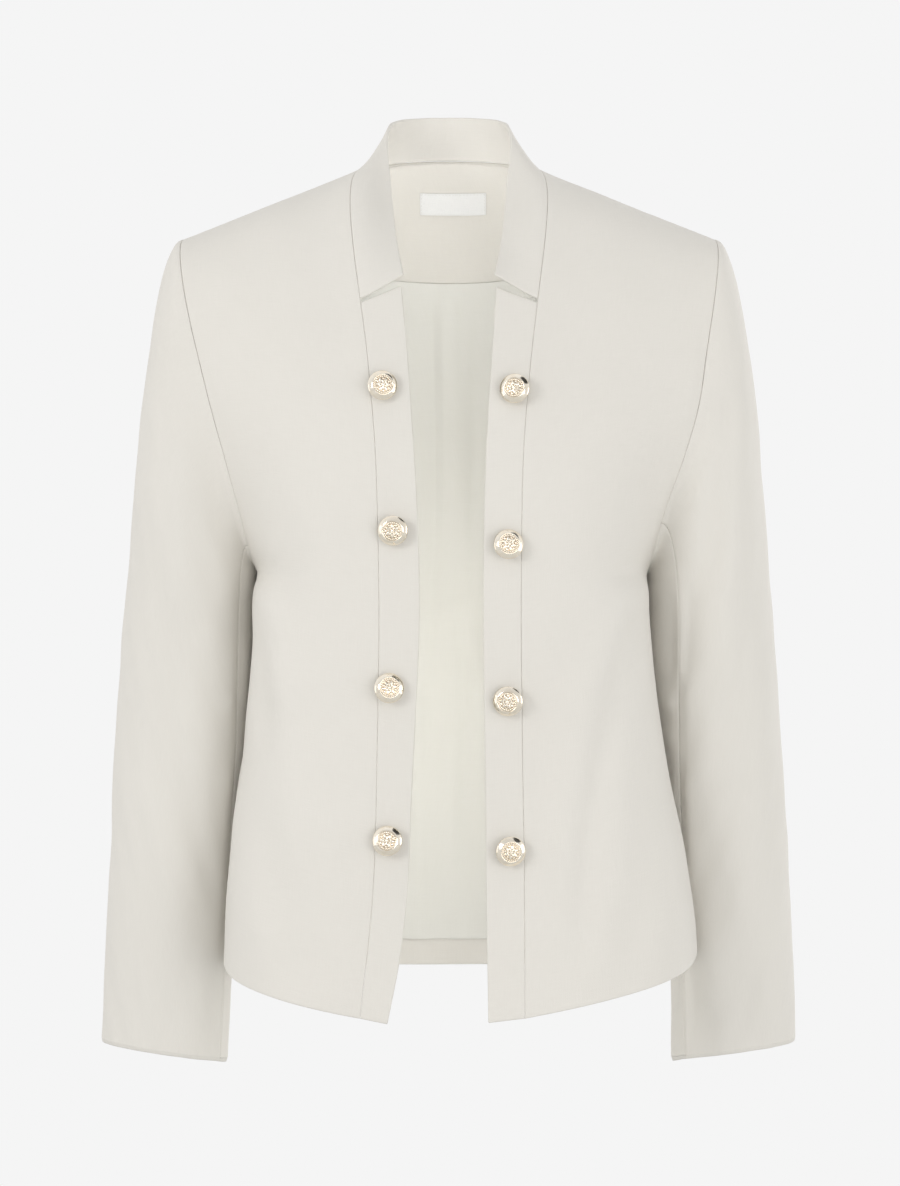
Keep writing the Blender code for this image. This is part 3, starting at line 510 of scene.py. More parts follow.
SUITING_TINTS = (.680, .655, .605), (.775, .753, .703)
LINING_TINTS = (.695, .688, .635), (.77, .763, .725)
LABEL_TINTS = (.69, .69, .68), (.83, .83, .82)
THREAD_TINTS = (.62, .61, .58), (.84, .83, .80)
FLOOR_TINTS = (.62, .62, .61), (.65, .65, .64)
# The last tint is painted shade: the darker gold put on the low parts of the buttons' relief.
GOLD_TINTS, GOLD_HOLLOW_SHADE = ((.90, .79, .62), (.99, .95, .87)), (.64, .51, .36)
# Thread pitch in metres, and uneven yarns to the metre across and along a streak.
SUITING_WEAVE = .00052, 1500, 70
LINING_WEAVE = .00022, 2600, 45
LABEL_WEAVE = .00030, 2200, 160
YARN_SPAN, CLOUD_SPAN = (.7, 1.3), (.3, .7)     # lowest and highest of the yarns and clouds
SUITING_SHARES = .36, .14, .10      # of the tint: from the yarns, of itself, from the weave
LINING_SHARE, LABEL_SHARE = .5, .2  # of the tint: from the yarns, and from the weave
# Broad unevenness: turns to the metre, lowest and highest.
SUITING_MOTTLE, LINING_MOTTLE, FLOOR_MOTTLE = (7.0, -.07, .07), (9.0, -.07, .05), (3.0, .2, .8)
SUITING_ROUGH, LINING_ROUGH = (.74, .90), (.46, .60)    # lowest and highest
LABEL_ROUGH, THREAD_ROUGH = (.12, .50), (.15, .45)      # gain and base
GOLD_ROUGH, FLOOR_ROUGH = (.16, .1, .06), .8            # gain by cloud, by the relief's painted-shade mask, and base
# Relief: share of the weave beside the yarns, depth in metres and strength.
SUITING_RELIEF, LINING_RELIEF = (.35, .00014, .55), (.15, .00006, .45)
LABEL_RELIEF, THREAD_RELIEF, GOLD_RELIEF = (.00009, .5), (.00004, .6), (.00003, .25)
THREAD_TWIST = 900.0, 2.0           # turns to the metre and distortion
GOLD_CLOUD, GOLD_FINE = (260.0, 4.0), (2400.0, 2.0)     # turns to the metre and detail
CAMERA, LENS, SENSOR, CLIP = (.0007, -3.2, -.325), 131.3, 36.0, (.05, 50)
AIM = (0, 0, -.33)          # where the lamps point
LIGHTS = (("key", (-2.25, -2.35, .45), (1.2, 1.3), 24.5, (1, .992, .985)),
          ("fill", (2.1, -2.7, -.4), (1.2, 1.6), 15.0, (1, .992, .985)),
          ("ahead", (.8, -3.5, -.35), (1.6, 1.6), 15.0, (1, .995, .99)),
          ("side_right", (-2.6, -.5, -.4), (1.2, 1.6), 2.5, (1, .995, .99)),
          ("side_left", (2.6, -.5, -.4), (1.2, 1.6), 6.5, (1, .995, .99)),
          ("behind", (2.3, 2.4, .5), (1.2, 1.4), 16.0, (1, .995, .99)))
# Small lamps inside the empty garment, for what shows through the open front: place, size, energy,
# tint.
INSIDE_LIGHTS = (((0, -.065, -.387), (.05, .474), .262, (1, .985, .965)),
                 ((0, -.035, -.075), (.05, .05), .057, (.98, .985, 1)))
WORLD_AHEAD, WORLD_BEHIND = .68, .913
WORLD_TURN = -.75, 0.0      # how far round from ahead it changes
# Dark cards beside the lamps, for the metal to mirror: direction and how wide.
CARDS, CARD_SHADE = (((.60, -.13, .79), .94), ((-.75, -.12, -.65), .97)), .94
FLOOR_RADIUS, FLOOR_Z, FLOOR_SIDES = 3.2, -1.35, 64


# ---------------------------------------------------------------- finer stations
PARTS_BELOW, PARTS_ABOVE = 11, 6    # parts of each gap, below and above the underarm
# The widest cells, as shares of a row, cap, sleeve, band and collar.
CELL_ACROSS, CELL_CAP, CELL_SLEEVE, CELL_BAND, CELL_COLLAR = .017, .015, .011, .09, .055


def split_gaps(stations, parts):
    """The stations, with each gap between two of them cut into equal parts."""
    low, high = np.array(stations[:-1], float), np.array(stations[1:], float)
    steps = np.arange(parts) / parts
    return np.append((low[:, None] + (high - low)[:, None] * steps).ravel(), stations[-1])


def finer(stations, cell):
    """The stations, with each gap cut into equal parts no wider than cell."""
    found = [np.array([stations[0]], float)]
    for low, high in zip(stations, stations[1:]):
        parts = max(1, math.ceil(abs(high - low) / cell - SLIVER))
        found.append(np.linspace(low, high, parts + 1)[1:])
    return np.concatenate(found)


ACROSS_FINE = finer(ACROSS, CELL_ACROSS)
NECK_FINE = finer(ACROSS_NECK + (1,), CELL_ACROSS / NECK_SHARE)[:-1]
TURN_FINE = split_gaps((0,) + OVER_SHOULDER, PARTS_ABOVE)[1:]
UNDERARM_ROW = PARTS_BELOW * (len(BELOW_UNDERARM) - 1)


def rows_of(side):
    """Shares of the height from hem to yoke line, with a row at the underarm."""
    split = UNDERARM_STATION[side]
    below = split_gaps(BELOW_UNDERARM, PARTS_BELOW)
    above = split_gaps((0,) + ABOVE_UNDERARM, PARTS_ABOVE)[1:]
    return np.concatenate([split * below, split + (1 - split) * above])


def front_grid(side):
    return np.concatenate([lower_panel("front", side, rows_of(side), ACROSS_FINE),
                           front_top(side, TURN_FINE, ACROSS_FINE)])


def half_back_grid(side):
    columns = back_columns(NECK_FINE, ACROSS_FINE)
    return np.concatenate([lower_panel("back", side, rows_of(side), columns),
                           back_top(side, TURN_FINE, NECK_FINE, ACROSS_FINE)])


# ---------------------------------------------------------------- folds, creases and puckers
# Soft creases, as FOLDS above. face is 1 for the side that looks ahead, -1 for the
# side that looks behind and 0 for both.
CREASES = {
    "front_right": table(
        "x0 z0 x1 z1 width rise face", (140, -318, 118, -352, 8, 1.1, 0),
        (146, -300, 112, -322, 9, -.8, 0), (150, -268, 122, -300, 12, .7, 0),
        (168, -196, 128, -236, 16, -1.1, 0), (176, -150, 150, -214, 12, 1.0, 0),
        (92, -60, 84, -190, 22, -.9, 0), (124, -84, 112, -180, 18, .8, 0),
        (156, -470, 138, -585, 13, 1.6, 0), (128, -500, 108, -612, 16, -1.6, 0),
        (84, -470, 78, -622, 16, 1.1, 0), (74, -250, 80, -420, 20, -.8, 0),
        (136, -318, 121, -410, 11, 2.0, 0), (142, -345, 133, -430, 9, -1.7, 0),
        (121, -410, 114, -520, 13, 1.6, 0), (144, -322, 150, -440, 8, 1.2, 0)),
    "front_left": table(
        "x0 z0 x1 z1 width rise face", (144, -318, 118, -346, 8, 1.0, 0),
        (150, -300, 120, -312, 8, -.9, 0), (154, -276, 128, -304, 11, .8, 0),
        (174, -206, 138, -258, 15, -1.2, 0), (182, -158, 160, -226, 12, 1.0, 0),
        (88, -50, 80, -170, 20, -.9, 0), (130, -96, 120, -196, 19, .8, 0),
        (168, -480, 158, -578, 13, 1.5, 0), (146, -480, 134, -600, 15, -1.3, 0),
        (116, -540, 108, -618, 12, 1.0, 0), (62, -300, 64, -480, 17, -.7, 0),
        (140, -340, 119, -402, 9, -2.6, 0), (119, -402, 104, -475, 10, -3.0, 0),
        (104, -475, 96, -580, 10, -2.6, 0), (147, -322, 152, -440, 8, 1.2, 0),
        (132, -420, 122, -540, 13, 1.0, 0)),
    "back": table(
        "x0 z0 x1 z1 width rise face", (134, -322, 66, -392, 12, 3.4, 0),
        (138, -344, 88, -420, 10, -2.8, 0), (120, -300, 54, -330, 13, 2.2, 0),
        (60, -352, 8, -376, 12, 2.7, 0), (74, -384, 18, -400, 10, -2.2, 0),
        (44, -330, -8, -342, 9, -1.8, 0), (150, -440, 130, -560, 14, 3.6, 0),
        (112, -430, 96, -590, 17, -3.3, 0), (64, -460, 58, -596, 16, 2.5, 0),
        (122, -150, 102, -270, 17, -2.4, 0), (152, -180, 136, -262, 12, 2.2, 0),
        (44, -110, 50, -230, 20, -1.5, 0), (84, -70, 76, -170, 18, 1.5, 0),
        (-130, -326, -72, -380, 13, 3.2, 0), (-140, -350, -78, -436, 11, -3.2, 0),
        (-112, -298, -30, -326, 12, 2, 0), (-78, -360, -26, -368, 10, 2.4, 0),
        (-62, -394, 4, -418, 11, -2.1, 0), (-148, -450, -136, -575, 13, 3.3, 0),
        (-118, -440, -90, -596, 18, -3, 0), (-50, -480, -54, -590, 14, 2.7, 0),
        (-14, -440, -20, -594, 15, -2, 0), (-126, -160, -96, -284, 16, -2.5, 0),
        (-156, -190, -132, -280, 12, 2.1, 0), (-70, -96, -58, -210, 20, 1.7, 0),
        (-30, -140, -24, -250, 16, -1.4, 0), (24, -180, 20, -290, 15, 1.4, 0)),
    "sleeve_right": table(
        "x0 z0 x1 z1 width rise face", (190, -262, 158, -338, 9, 1.0, 1),
        (212, -150, 206, -248, 14, -1.1, 0), (178, -356, 150, -396, 10, 1.0, 1),
        (202, -338, 204, -420, 13, -2.0, 1), (236, -356, 192, -420, 12, 1.6, -1),
        (232, -402, 178, -446, 10, -1.7, -1), (190, -446, 158, -470, 10, 1.0, 0),
        (226, -470, 196, -560, 15, 1.1, 1), (244, -500, 234, -640, 14, -.9, 0),
        (204, -420, 192, -520, 14, -1.6, 1), (176, -520, 180, -640, 12, -.9, 0),
        (208, -230, 178, -300, 12, 1.5, -1), (222, -300, 196, -352, 11, -1.5, -1),
        (172, -330, 166, -430, 12, 1.6, 1), (155, -440, 192, -655, 14, 2.2, 1),
        (132, -450, 169, -660, 14, -2.0, 1), (216, -470, 206, -600, 14, 1.5, -1),
        (144, -318, 146, -385, 10, 1.6, 0), (143, -306, 145, -326, 6, 1.2, 0),
        (150, -396, 162, -410, 6, 1.2, 0)),
    "sleeve_left": table(
        "x0 z0 x1 z1 width rise face", (208, -184, 190, -293, 10, -2.6, 1),
        (190, -293, 168, -388, 11, -3.2, 1), (218, -250, 204, -390, 14, 1.8, 1),
        (220, -150, 216, -236, 12, .9, 0), (186, -390, 156, -412, 8, 1.3, 1),
        (208, -396, 172, -452, 12, -1.1, 1), (234, -340, 190, -404, 12, 1.7, -1),
        (236, -412, 182, -452, 11, -1.9, -1), (192, -452, 162, -482, 9, 1.1, 0),
        (228, -480, 204, -580, 15, .9, 1), (246, -470, 238, -600, 14, -.9, 0),
        (204, -580, 200, -668, 14, 1.0, 0), (180, -530, 184, -650, 12, -.9, 0),
        (210, -240, 184, -312, 12, 1.5, -1), (226, -296, 200, -360, 12, -1.6, -1),
        (178, -400, 205, -650, 14, 2.8, 1), (158, -430, 184, -660, 14, -2.6, 1),
        (214, -480, 208, -620, 13, 1.4, -1), (149, -318, 150, -388, 10, 1.9, 0),
        (148, -307, 149, -327, 6, 1.3, 0), (152, -396, 164, -408, 6, 1.2, 0),
        (154, -424, 166, -434, 6, 1.1, 0)),
    "facing": table(
        "x0 z0 x1 z1 width rise face", (17, -9, 36, -23, 3.5, 1.1, 0), (-22, -42, -36, -80, 6, .9, 0),
        (27, -48, 21, -86, 6, .8, 0), (-6, -52, -2, -84, 5, .6, 0), (-70, -40, -62, -90, 8, 1.2, 0),
        (66, -36, 72, -92, 8, 1.2, 0)),
    "lining": table(
        "x0 z0 x1 z1 width rise face", (-30, -120, -37, -540, 6, 1.7, 0),
        (-17, -290, -22, -570, 5, 1.3, 0), (13, -105, 18, -400, 5, 1.6, 0),
        (29, -180, 26, -560, 6, 1.8, 0), (7, -390, 5, -575, 5, 1.2, 0),
        (-64, -150, -58, -480, 9, 1.9, 0), (60, -140, 66, -500, 9, 1.8, 0),
        (-100, -200, -92, -520, 11, 1.7, 0), (98, -220, 104, -540, 10, 1.9, 0)),
}
# Uneven waves of the whole cloth: their lengths along and across (mm), turn and height.
WAVES = table("along across turn height", (148, 96, 12, .48), (87, 63, -21, .30), (54, 71, 34, .17))
SEEDS = {"front": 1.3, "back": 4.1, "sleeve": (3.3, 7.7, 9.1), "facing": 2.9, "lining": 5.6}
SLEEVE_PUCKERS = .10, .24                   # at the long seams and at the armhole
# Bands and collar: border and share of their waves, two seeds, and height of the gathers.
NARROW = {"band": (8.0, .8, 6.2, 2.2, .14), "collar": (12.0, .7, 8.4, 5.2, .12)}
INSIDE_WAVES = .5                           # share of the waves on facing and lining
FACING_BORDER, LINING_BORDER = 8.0, 16.0    # mm at the facing's and lining's ends that stay plain
PUCKER_PHASE = 1.9          # from one edge's gathers to the next
WAVE_PHASES = 1.7, 2.3                      # from one seed, and one wave, to the next
WAVE_DRIFTS, WAVE_SKEW = ((1.1, 2.3), (.8, 1.9)), .7    # how unevenly a wave runs
PUCKER_HEIGHT, PUCKER_REACH, PUCKER_LENGTH, PUCKER_RISE = .20, 6.0, 11.0, 1.5
PUCKER_WARPS = (5, 23), (3, 9.7)            # how unevenly the gathers follow each other
PUCKER_DEPTH, PUCKER_CHANGE = (.55, .45), 61
FOLD_BORDER, CREASE_BORDER, WAVE_BORDER = 30.0, 9.0, 18.0   # mm beside a seam in which they die
CREASE_BEND, CREASE_PLAIN = .16, .4         # how much a crease bends, and one on both sides
CREASE_TURN = -.3, .35                      # how far round the cloth a one-sided crease reaches


def run_length(grid, axis):
    """Distance in mm from the first line of a grid, along its rows or columns."""
    steps = np.linalg.norm(np.diff(grid, axis=axis), axis=-1)
    start = np.zeros_like(np.take(steps, [0], axis=axis))
    return np.concatenate([start, np.cumsum(steps, axis=axis)], axis=axis)


def edge_distances(grid):
    """Distance in mm from each edge of a grid, at each of its points."""
    down, along = run_length(grid, 0), run_length(grid, 1)
    return {"first_row": down, "last_row": down[-1:] - down,
            "first_column": along, "last_column": along[:, -1:] - along}


def near(grid, edges, reach):
    """1 away from the named edges, falling to 0 on them within the reach in mm."""
    found = edge_distances(grid)
    free = np.ones(grid.shape[:2])
    for edge in edges:
        free = free * smoothstep(0, reach, found[edge])
    return free


def crease(grid, rows, outward, free):
    """Raise the creases of a table on a grid; free is 0 where a seam holds the cloth."""
    facing = normals(grid, outward)
    shift = np.zeros(grid.shape[:2])
    x, z = grid[..., 0], grid[..., 2]
    sides = rows.get("face", 0 * rows["x0"])
    for x0, z0, x1, z1, width, rise, side in zip(*list(rows.values())[:6], sides):
        run = np.array([x1 - x0, z1 - z0])
        length = np.linalg.norm(run)
        along = ((x - x0) * run[0] + (z - z0) * run[1]) / length ** 2
        aside = ((x - x0) * run[1] - (z - z0) * run[0]) / length
        bend = CREASE_BEND * length * along * (1 - along) * (side or CREASE_PLAIN)
        ends = smoothstep(-FOLD_FADE, FOLD_FADE, along)
        ends = ends * smoothstep(1 + FOLD_FADE, 1 - FOLD_FADE, along)
        seen = smoothstep(*CREASE_TURN, -facing[..., 1] * side) if side else 1.0
        shift += rise * ends * seen * np.exp(-((aside - bend) / width) ** 2)
    return grid + (shift * free)[..., None] * facing


def eased(grid, outward, free, passes=EASE_PASSES, closed=False):
    """Even out sharp turns of the surface, where free is above 0."""
    for _ in range(passes):
        shift = np.zeros(grid.shape[:2])
        facing = normals(grid, outward)
        for axis in (0, 1):
            around = np.moveaxis(grid, axis, 0)
            if closed and axis == 1:
                before, after = np.roll(around, 1, axis=0), np.roll(around, -1, axis=0)
            else:
                before = np.concatenate([around[:1], around[:-1]])
                after = np.concatenate([around[1:], around[-1:]])
            a = np.linalg.norm(around - before, axis=-1, keepdims=True)
            b = np.linalg.norm(after - around, axis=-1, keepdims=True)
            chord = (before * b + after * a) / np.maximum(a + b, TINY)
            move = np.moveaxis(chord - around, 0, axis)
            inside = np.moveaxis((a > 0) & (b > 0), 0, axis)[..., 0]
            shift += EASE_RATE * inside * (move * facing).sum(-1)
        grid = grid + (shift * free)[..., None] * facing
    return grid


def wave(grid, outward, free, seed):
    """Slight uneven waves, so that no panel is smoother than pressed cloth."""
    down, along = run_length(grid, 0), run_length(grid, 1)
    shift = np.zeros(grid.shape[:2])
    for number, (long, wide, turn, height) in enumerate(zip(*WAVES.values())):
        cos, sin = math.cos(math.radians(turn)), math.sin(math.radians(turn))
        a, b = down * cos + along * sin, along * cos - down * sin
        phase = seed * WAVE_PHASES[0] + number * WAVE_PHASES[1]
        (down_drift, down_length), (cross_drift, cross_length) = WAVE_DRIFTS
        drift = (down_drift * np.sin(a / (down_length * long) + phase)
                 + cross_drift * np.sin(b / (cross_length * wide) - phase))
        shift += (height * np.sin(2 * math.pi * a / long + phase + drift)
                  * np.cos(2 * math.pi * b / wide - phase + WAVE_SKEW * drift))
    return grid + (shift * free)[..., None] * normals(grid, outward)


def pucker(grid, edges, outward, seed, height=PUCKER_HEIGHT):
    """Small gathers beside seams, uneven in length and depth."""
    found, facing = edge_distances(grid), normals(grid, outward)
    shift = np.zeros(grid.shape[:2])
    for number, edge in enumerate(edges):
        place = run_length(grid, 0 if "column" in edge else 1)
        phase = seed + PUCKER_PHASE * number
        (broad, broad_length), (fine, fine_length) = PUCKER_WARPS
        warp = (place + broad * np.sin(place / broad_length + phase)
                + fine * np.sin(place / fine_length - phase))
        depth = PUCKER_DEPTH[0] + PUCKER_DEPTH[1] * np.sin(place / PUCKER_CHANGE + 2 * phase)
        fall = np.exp(-found[edge] / PUCKER_REACH)
        shift += (height * depth * np.sin(2 * math.pi * warp / PUCKER_LENGTH)
                  * fall * smoothstep(0, PUCKER_RISE, found[edge]))
    return grid + shift[..., None] * facing


# ---------------------------------------------------------------- objects
def linked(name, data):
    made = bpy.data.objects.new(name, data)
    bpy.context.scene.collection.objects.link(made)
    return made


def mesh_of(name, points, faces, finishes):
    """A smooth mesh in metres with its materials."""
    mesh = bpy.data.meshes.new(name)
    mesh.from_pydata(points.tolist(), [], faces)
    for finish in finishes:
        mesh.materials.append(finish)
    mesh.shade_smooth()
    return mesh


def settle(made, node):
    """The piece rides on the body and stands for its solid."""
    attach(made, "root")
    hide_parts(node)


def declare_sheet(made, node):
    """The piece is settled."""
    settle(made, node)


# ---------------------------------------------------------------- sheets of cloth
RIM_TURNS = np.radians((90, 62, 34, 0))     # stations of a rounded edge, from its outmost line
EDGES = "first_row", "last_row", "first_column", "last_column"


def rim_axis(count, cell, radii, sewn):
    """Lines along one axis of a grid with rounded edges: their places, how far each is into
    the rounding (1 at the edge, 0 inside), the radius that it has, its side, and whether
    its edge is free (1) or sewn (0)."""
    lack = np.sin(RIM_TURNS)
    start, stop = (np.minimum(radius * (1 - lack) / cell, RIM_CELL) for radius in radii)
    inside = np.arange(1, count - 1)
    places = np.concatenate([start, inside, count - 1 - stop[::-1]])
    lacks = np.concatenate([lack, 0 * inside, lack[::-1]])
    half = np.arange(len(places)) < len(places) / 2
    loose = 1.0 - np.where(half, *np.array(sewn, float))
    return places, lacks, np.where(half, *radii), np.where(half, 1.0, -1.0), loose


def sample(values, rows, columns):
    """Values of a grid at places between its points."""
    row = np.clip(np.floor(rows).astype(int), 0, values.shape[0] - 2)
    column = np.clip(np.floor(columns).astype(int), 0, values.shape[1] - 2)
    down, along = (rows - row)[..., None], (columns - column)[..., None]
    return ((values[row, column] * (1 - along) + values[row, column + 1] * along) * (1 - down)
            + (values[row + 1, column] * (1 - along) + values[row + 1, column + 1] * along) * down)


def rounded(grid, radii, sewn):
    """Places in a grid with closer lines at its edges, and how far each is below the face.
    A corner between two free edges is rounded in the cloth's own plane too."""
    cells = (np.linalg.norm(grid[1] - grid[0], axis=-1).mean(),
             np.linalg.norm(grid[:, 1] - grid[:, 0], axis=-1).mean())
    rows = rim_axis(grid.shape[0], cells[0], radii[:2], sewn[:2])
    columns = rim_axis(grid.shape[1], cells[1], radii[2:], sewn[2:])
    place, lack, radius, side, loose = (np.stack(np.meshgrid(a, b, indexing="ij"), -1)
                                        for a, b in zip(rows, columns))
    size = np.linalg.norm(lack, axis=-1, keepdims=True)
    kept = lack * np.minimum(1, 1 / np.maximum(size, TINY))
    inward = side * (lack - kept) * radius / np.array(cells)
    place = place + inward * loose.prod(-1, keepdims=True)
    total = (kept ** 2).sum(-1)
    blend = (kept ** 2 * radius).sum(-1) / np.maximum(total, TINY)
    drop = blend * (1 - np.sqrt(np.maximum(0, 1 - total)))
    return place[..., 0], place[..., 1], drop


def flat_places(grid):
    """Places on the cut cloth in metres, with the threads along and across the grid."""
    down, along = run_length(grid, 0), run_length(grid, 1)
    return np.stack([along, down], -1) * MM


def cloth(name, grid, outward, thickness, finishes, soft=(), lined=None, thin=None):
    """A closed sheet of cloth with its outer face on the grid. The edges named in soft are
    sewn, and rounded less than the others. lined is (edge, depth in mm) of a turned-up hem,
    where the inner face is the outer cloth too. thin is a grid of shares of the thickness."""
    cut = flat_places(grid)
    thickness = thickness * (np.ones(grid.shape[:2]) if thin is None else thin)
    full = thickness.min() / 2 - RIM_FLAT
    radii = [min(full, SEAM_ROUND) if edge in soft else min(full, EDGE_ROUND) for edge in EDGES]
    rows, columns, drop = rounded(grid, radii, [edge in soft for edge in EDGES])
    base, cut = sample(grid, rows, columns), sample(cut, rows, columns)
    thickness = sample(thickness[..., None], rows, columns)[..., 0]
    facing = normals(base, outward)
    outer = base - drop[..., None] * facing
    inner = base - (thickness - drop)[..., None] * facing
    down, across = drop.shape
    index = np.arange(down * across).reshape(down, across)
    below = index + down * across
    top, bottom = quads_of(index), quads_of(below)[:, ::-1]
    quads = np.concatenate([top, rim_strips(index, below), bottom])
    points = np.concatenate([outer.reshape(-1, 3), inner.reshape(-1, 3)]) * MM
    places = np.concatenate([cut.reshape(-1, 2)] * 2)
    a, b, d = (points[top[:, corner]] for corner in (0, 1, 3))
    middle = len(top) // 2
    if np.cross(b[middle] - a[middle], d[middle] - a[middle]) @ np.array(outward, float) < 0:
        quads = quads[:, ::-1]
    mesh = mesh_of(name, points, quads.tolist(), finishes)
    layer = mesh.uv_layers.new(name="cut")
    corners = np.empty(len(mesh.loops), dtype=np.int32)
    mesh.loops.foreach_get("vertex_index", corners)
    layer.data.foreach_set("uv", places[corners].astype(np.float32).ravel())
    if len(finishes) > 1:
        marks = np.zeros(len(mesh.polygons), dtype=np.int32)
        marks[-len(bottom):] = inner_marks(down, across, base, lined)
        mesh.polygons.foreach_set("material_index", marks)
    return linked(name, mesh)


def rim_strips(index, below):
    """Faces that join the outer and inner faces all round."""
    loops = [(index[0, ::-1], below[0, ::-1]), (index[-1], below[-1]),
             (index[:, 0], below[:, 0]), (index[::-1, -1], below[::-1, -1])]
    return np.concatenate([np.stack([a[:-1], a[1:], b[1:], b[:-1]], -1) for a, b in loops])


def quads_of(index):
    corners = index[:-1, :-1], index[:-1, 1:], index[1:, 1:], index[1:, :-1]
    return np.stack(corners, -1).reshape(-1, 4)


def inner_marks(down, across, base, lined):
    """1 for the faces inside that have the second material: all but a turned-up hem."""
    marks = np.ones((down - 1, across - 1), dtype=np.int32)
    marks[[0, -1], :] = 0
    marks[:, [0, -1]] = 0
    if lined is not None:
        edge, depth = lined
        marks[edge_distances(base)[edge][:-1, :-1] < depth] = 0
    return marks.ravel()


# ---------------------------------------------------------------- garment pieces
AHEAD, BEHIND = (0, -1, 0), (0, 1, 0)
PANEL_SEAMS = "first_column", "last_column", "last_row"
SLEEVE_SEAMS = "first_column", "last_column", "first_row"
SEWN = ("first_column",)


def body_grids():
    """Plain grids of the fronts and half backs, and the whole back in one."""
    plain = {side: {"front": front_grid(side), "back": half_back_grid(side)} for side in SIDES}
    right, left = (mirrored(plain[side]["back"], SIDES[side]) for side in ("right", "left"))
    return plain, np.concatenate([right[:, :0:-1], left], axis=1)


def dressed(grid, name, outward, seams, seed):
    """A panel's grid with its folds, creases, waves and gathered seams."""
    grid = eased(grid, outward, near(grid, seams, EASE_BORDER))
    if name in FOLDS:
        grid = crease(grid, FOLDS[name], outward, near(grid, seams, FOLD_BORDER))
    grid = crease(grid, CREASES[name], outward, near(grid, seams, CREASE_BORDER))
    grid = wave(grid, outward, near(grid, seams, WAVE_BORDER), seed)
    return set_back(pucker(grid, seams, outward, seed), seams, SEAM_HALF)


def narrow(grid, name, outward, number=0):
    """A band's or collar's grid, sewn at its first column only, with its waves and gathers."""
    border, share, waves, gathers, height = NARROW[name]
    grid = wave(grid, outward, near(grid, SEWN, border) * share, waves + number)
    grid = pucker(grid, SEWN, outward, gathers + number, height)
    return set_back(grid, SEWN, SEAM_HALF)


def make_fronts(plain, finishes):
    both = finishes["suiting"], finishes["lining"]
    for number, (side, sign) in enumerate(SIDES.items()):
        name = "front_" + side
        grid = dressed(plain[side]["front"], name, AHEAD, PANEL_SEAMS, SEEDS["front"] + number)
        made = cloth(name + "_cloth", mirrored(grid, sign), AHEAD, SHELL_WALL, both,
                     PANEL_SEAMS, ("first_row", HEM_TURN))
        declare_sheet(made, name)


def make_back(whole, finishes):
    grid = dressed(whole, "back", BEHIND, PANEL_SEAMS, SEEDS["back"])
    made = cloth("back_cloth", grid, BEHIND, SHELL_WALL, (finishes["suiting"],), PANEL_SEAMS)
    declare_sheet(made, "back")
    return grid


def make_bands(finishes):
    for number, (side, sign) in enumerate(SIDES.items()):
        rise = rows_of(side)
        rise[-1] -= BAND_NOTCH
        grid = narrow(band_grid(side, rise, finer(ACROSS_BAND, CELL_BAND)), "band", AHEAD, number)
        made = cloth(f"band_{side}_cloth", mirrored(grid, sign), AHEAD, SHELL_WALL,
                     (finishes["suiting"],), SEWN)
        declare_sheet(made, "band_" + side)


def make_collar(finishes):
    notch = np.concatenate([[COLLAR_NOTCH], TURN_FINE[TURN_FINE > COLLAR_NOTCH]])
    neck = 1 - NECK_FINE[::-1]
    across = finer(ACROSS_COLLAR, CELL_COLLAR)
    halves = {side: collar_half(side, notch, neck, across) for side in SIDES}
    right, left = (mirrored(halves[side], SIDES[side]) for side in ("right", "left"))
    whole = narrow(np.concatenate([right, left[-2::-1]]), "collar", BEHIND)
    made = cloth("collar_cloth", whole, BEHIND, COLLAR_WALL, (finishes["suiting"],), SEWN)
    declare_sheet(made, "collar")


def sleeve_part(grid, part, side, outward, number):
    """Upper or under sleeve with its folds, creases, waves and gathered seams."""
    seams, (waves, long_seams, armhole) = SLEEVE_SEAMS, SEEDS["sleeve"]
    if part == "upper":
        grid = crease(grid, FOLDS["sleeve_" + side], outward, near(grid, seams, FOLD_BORDER))
    grid = crease(grid, CREASES["sleeve_" + side], outward, near(grid, seams, CREASE_BORDER))
    grid = wave(grid, outward, near(grid, seams, WAVE_BORDER), waves + number)
    grid = pucker(grid, seams[:2], outward, long_seams + number, SLEEVE_PUCKERS[0])
    grid = pucker(grid, seams[2:], outward, armhole + number, SLEEVE_PUCKERS[1])
    return set_back(grid, seams, SEAM_HALF)


def make_sleeves(plain, finishes):
    both = finishes["suiting"], finishes["lining"]
    for number, (side, sign) in enumerate(SIDES.items()):
        whole, front_seam, back_seam = sleeve_grid(side, plain[side])
        whole = eased(whole, (1, 0, 0), near(whole, ("first_row",), EASE_BORDER), closed=True)
        count = whole.shape[1]
        wrap = [column % count for column in range(back_seam, count + front_seam + 1)]
        parts = {"upper": (whole[:, front_seam:back_seam + 1], (1, 0, 0)),
                 "under": (whole[:, wrap], (-1, 0, 0))}
        for part, (grid, outward) in parts.items():
            name = f"sleeve_{part}_{side}"
            grid = sleeve_part(grid, part, side, outward, number)
            made = cloth(name + "_cloth", mirrored(grid, sign), (outward[0] * sign, 0, 0),
                         SHELL_WALL, both, SLEEVE_SEAMS, ("last_row", HEM_TURN))
            declare_sheet(made, name)


def make_inside(whole, finishes):
    """Neck facing and lining inside the back, and the label on the facing."""
    layer = whole - (SHELL_WALL + SEAM_GAP) * normals(whole, BEHIND)
    centre = layer[:, layer.shape[1] // 2, 2]
    split = int(np.argmin(np.abs(centre - FACING_DROP)))
    facing = make_facing(layer[split:, FACING_TRIM:-FACING_TRIM], finishes)
    make_lining(layer[:split + 1, LINING_TRIM:-LINING_TRIM], finishes)
    make_label(facing, finishes)


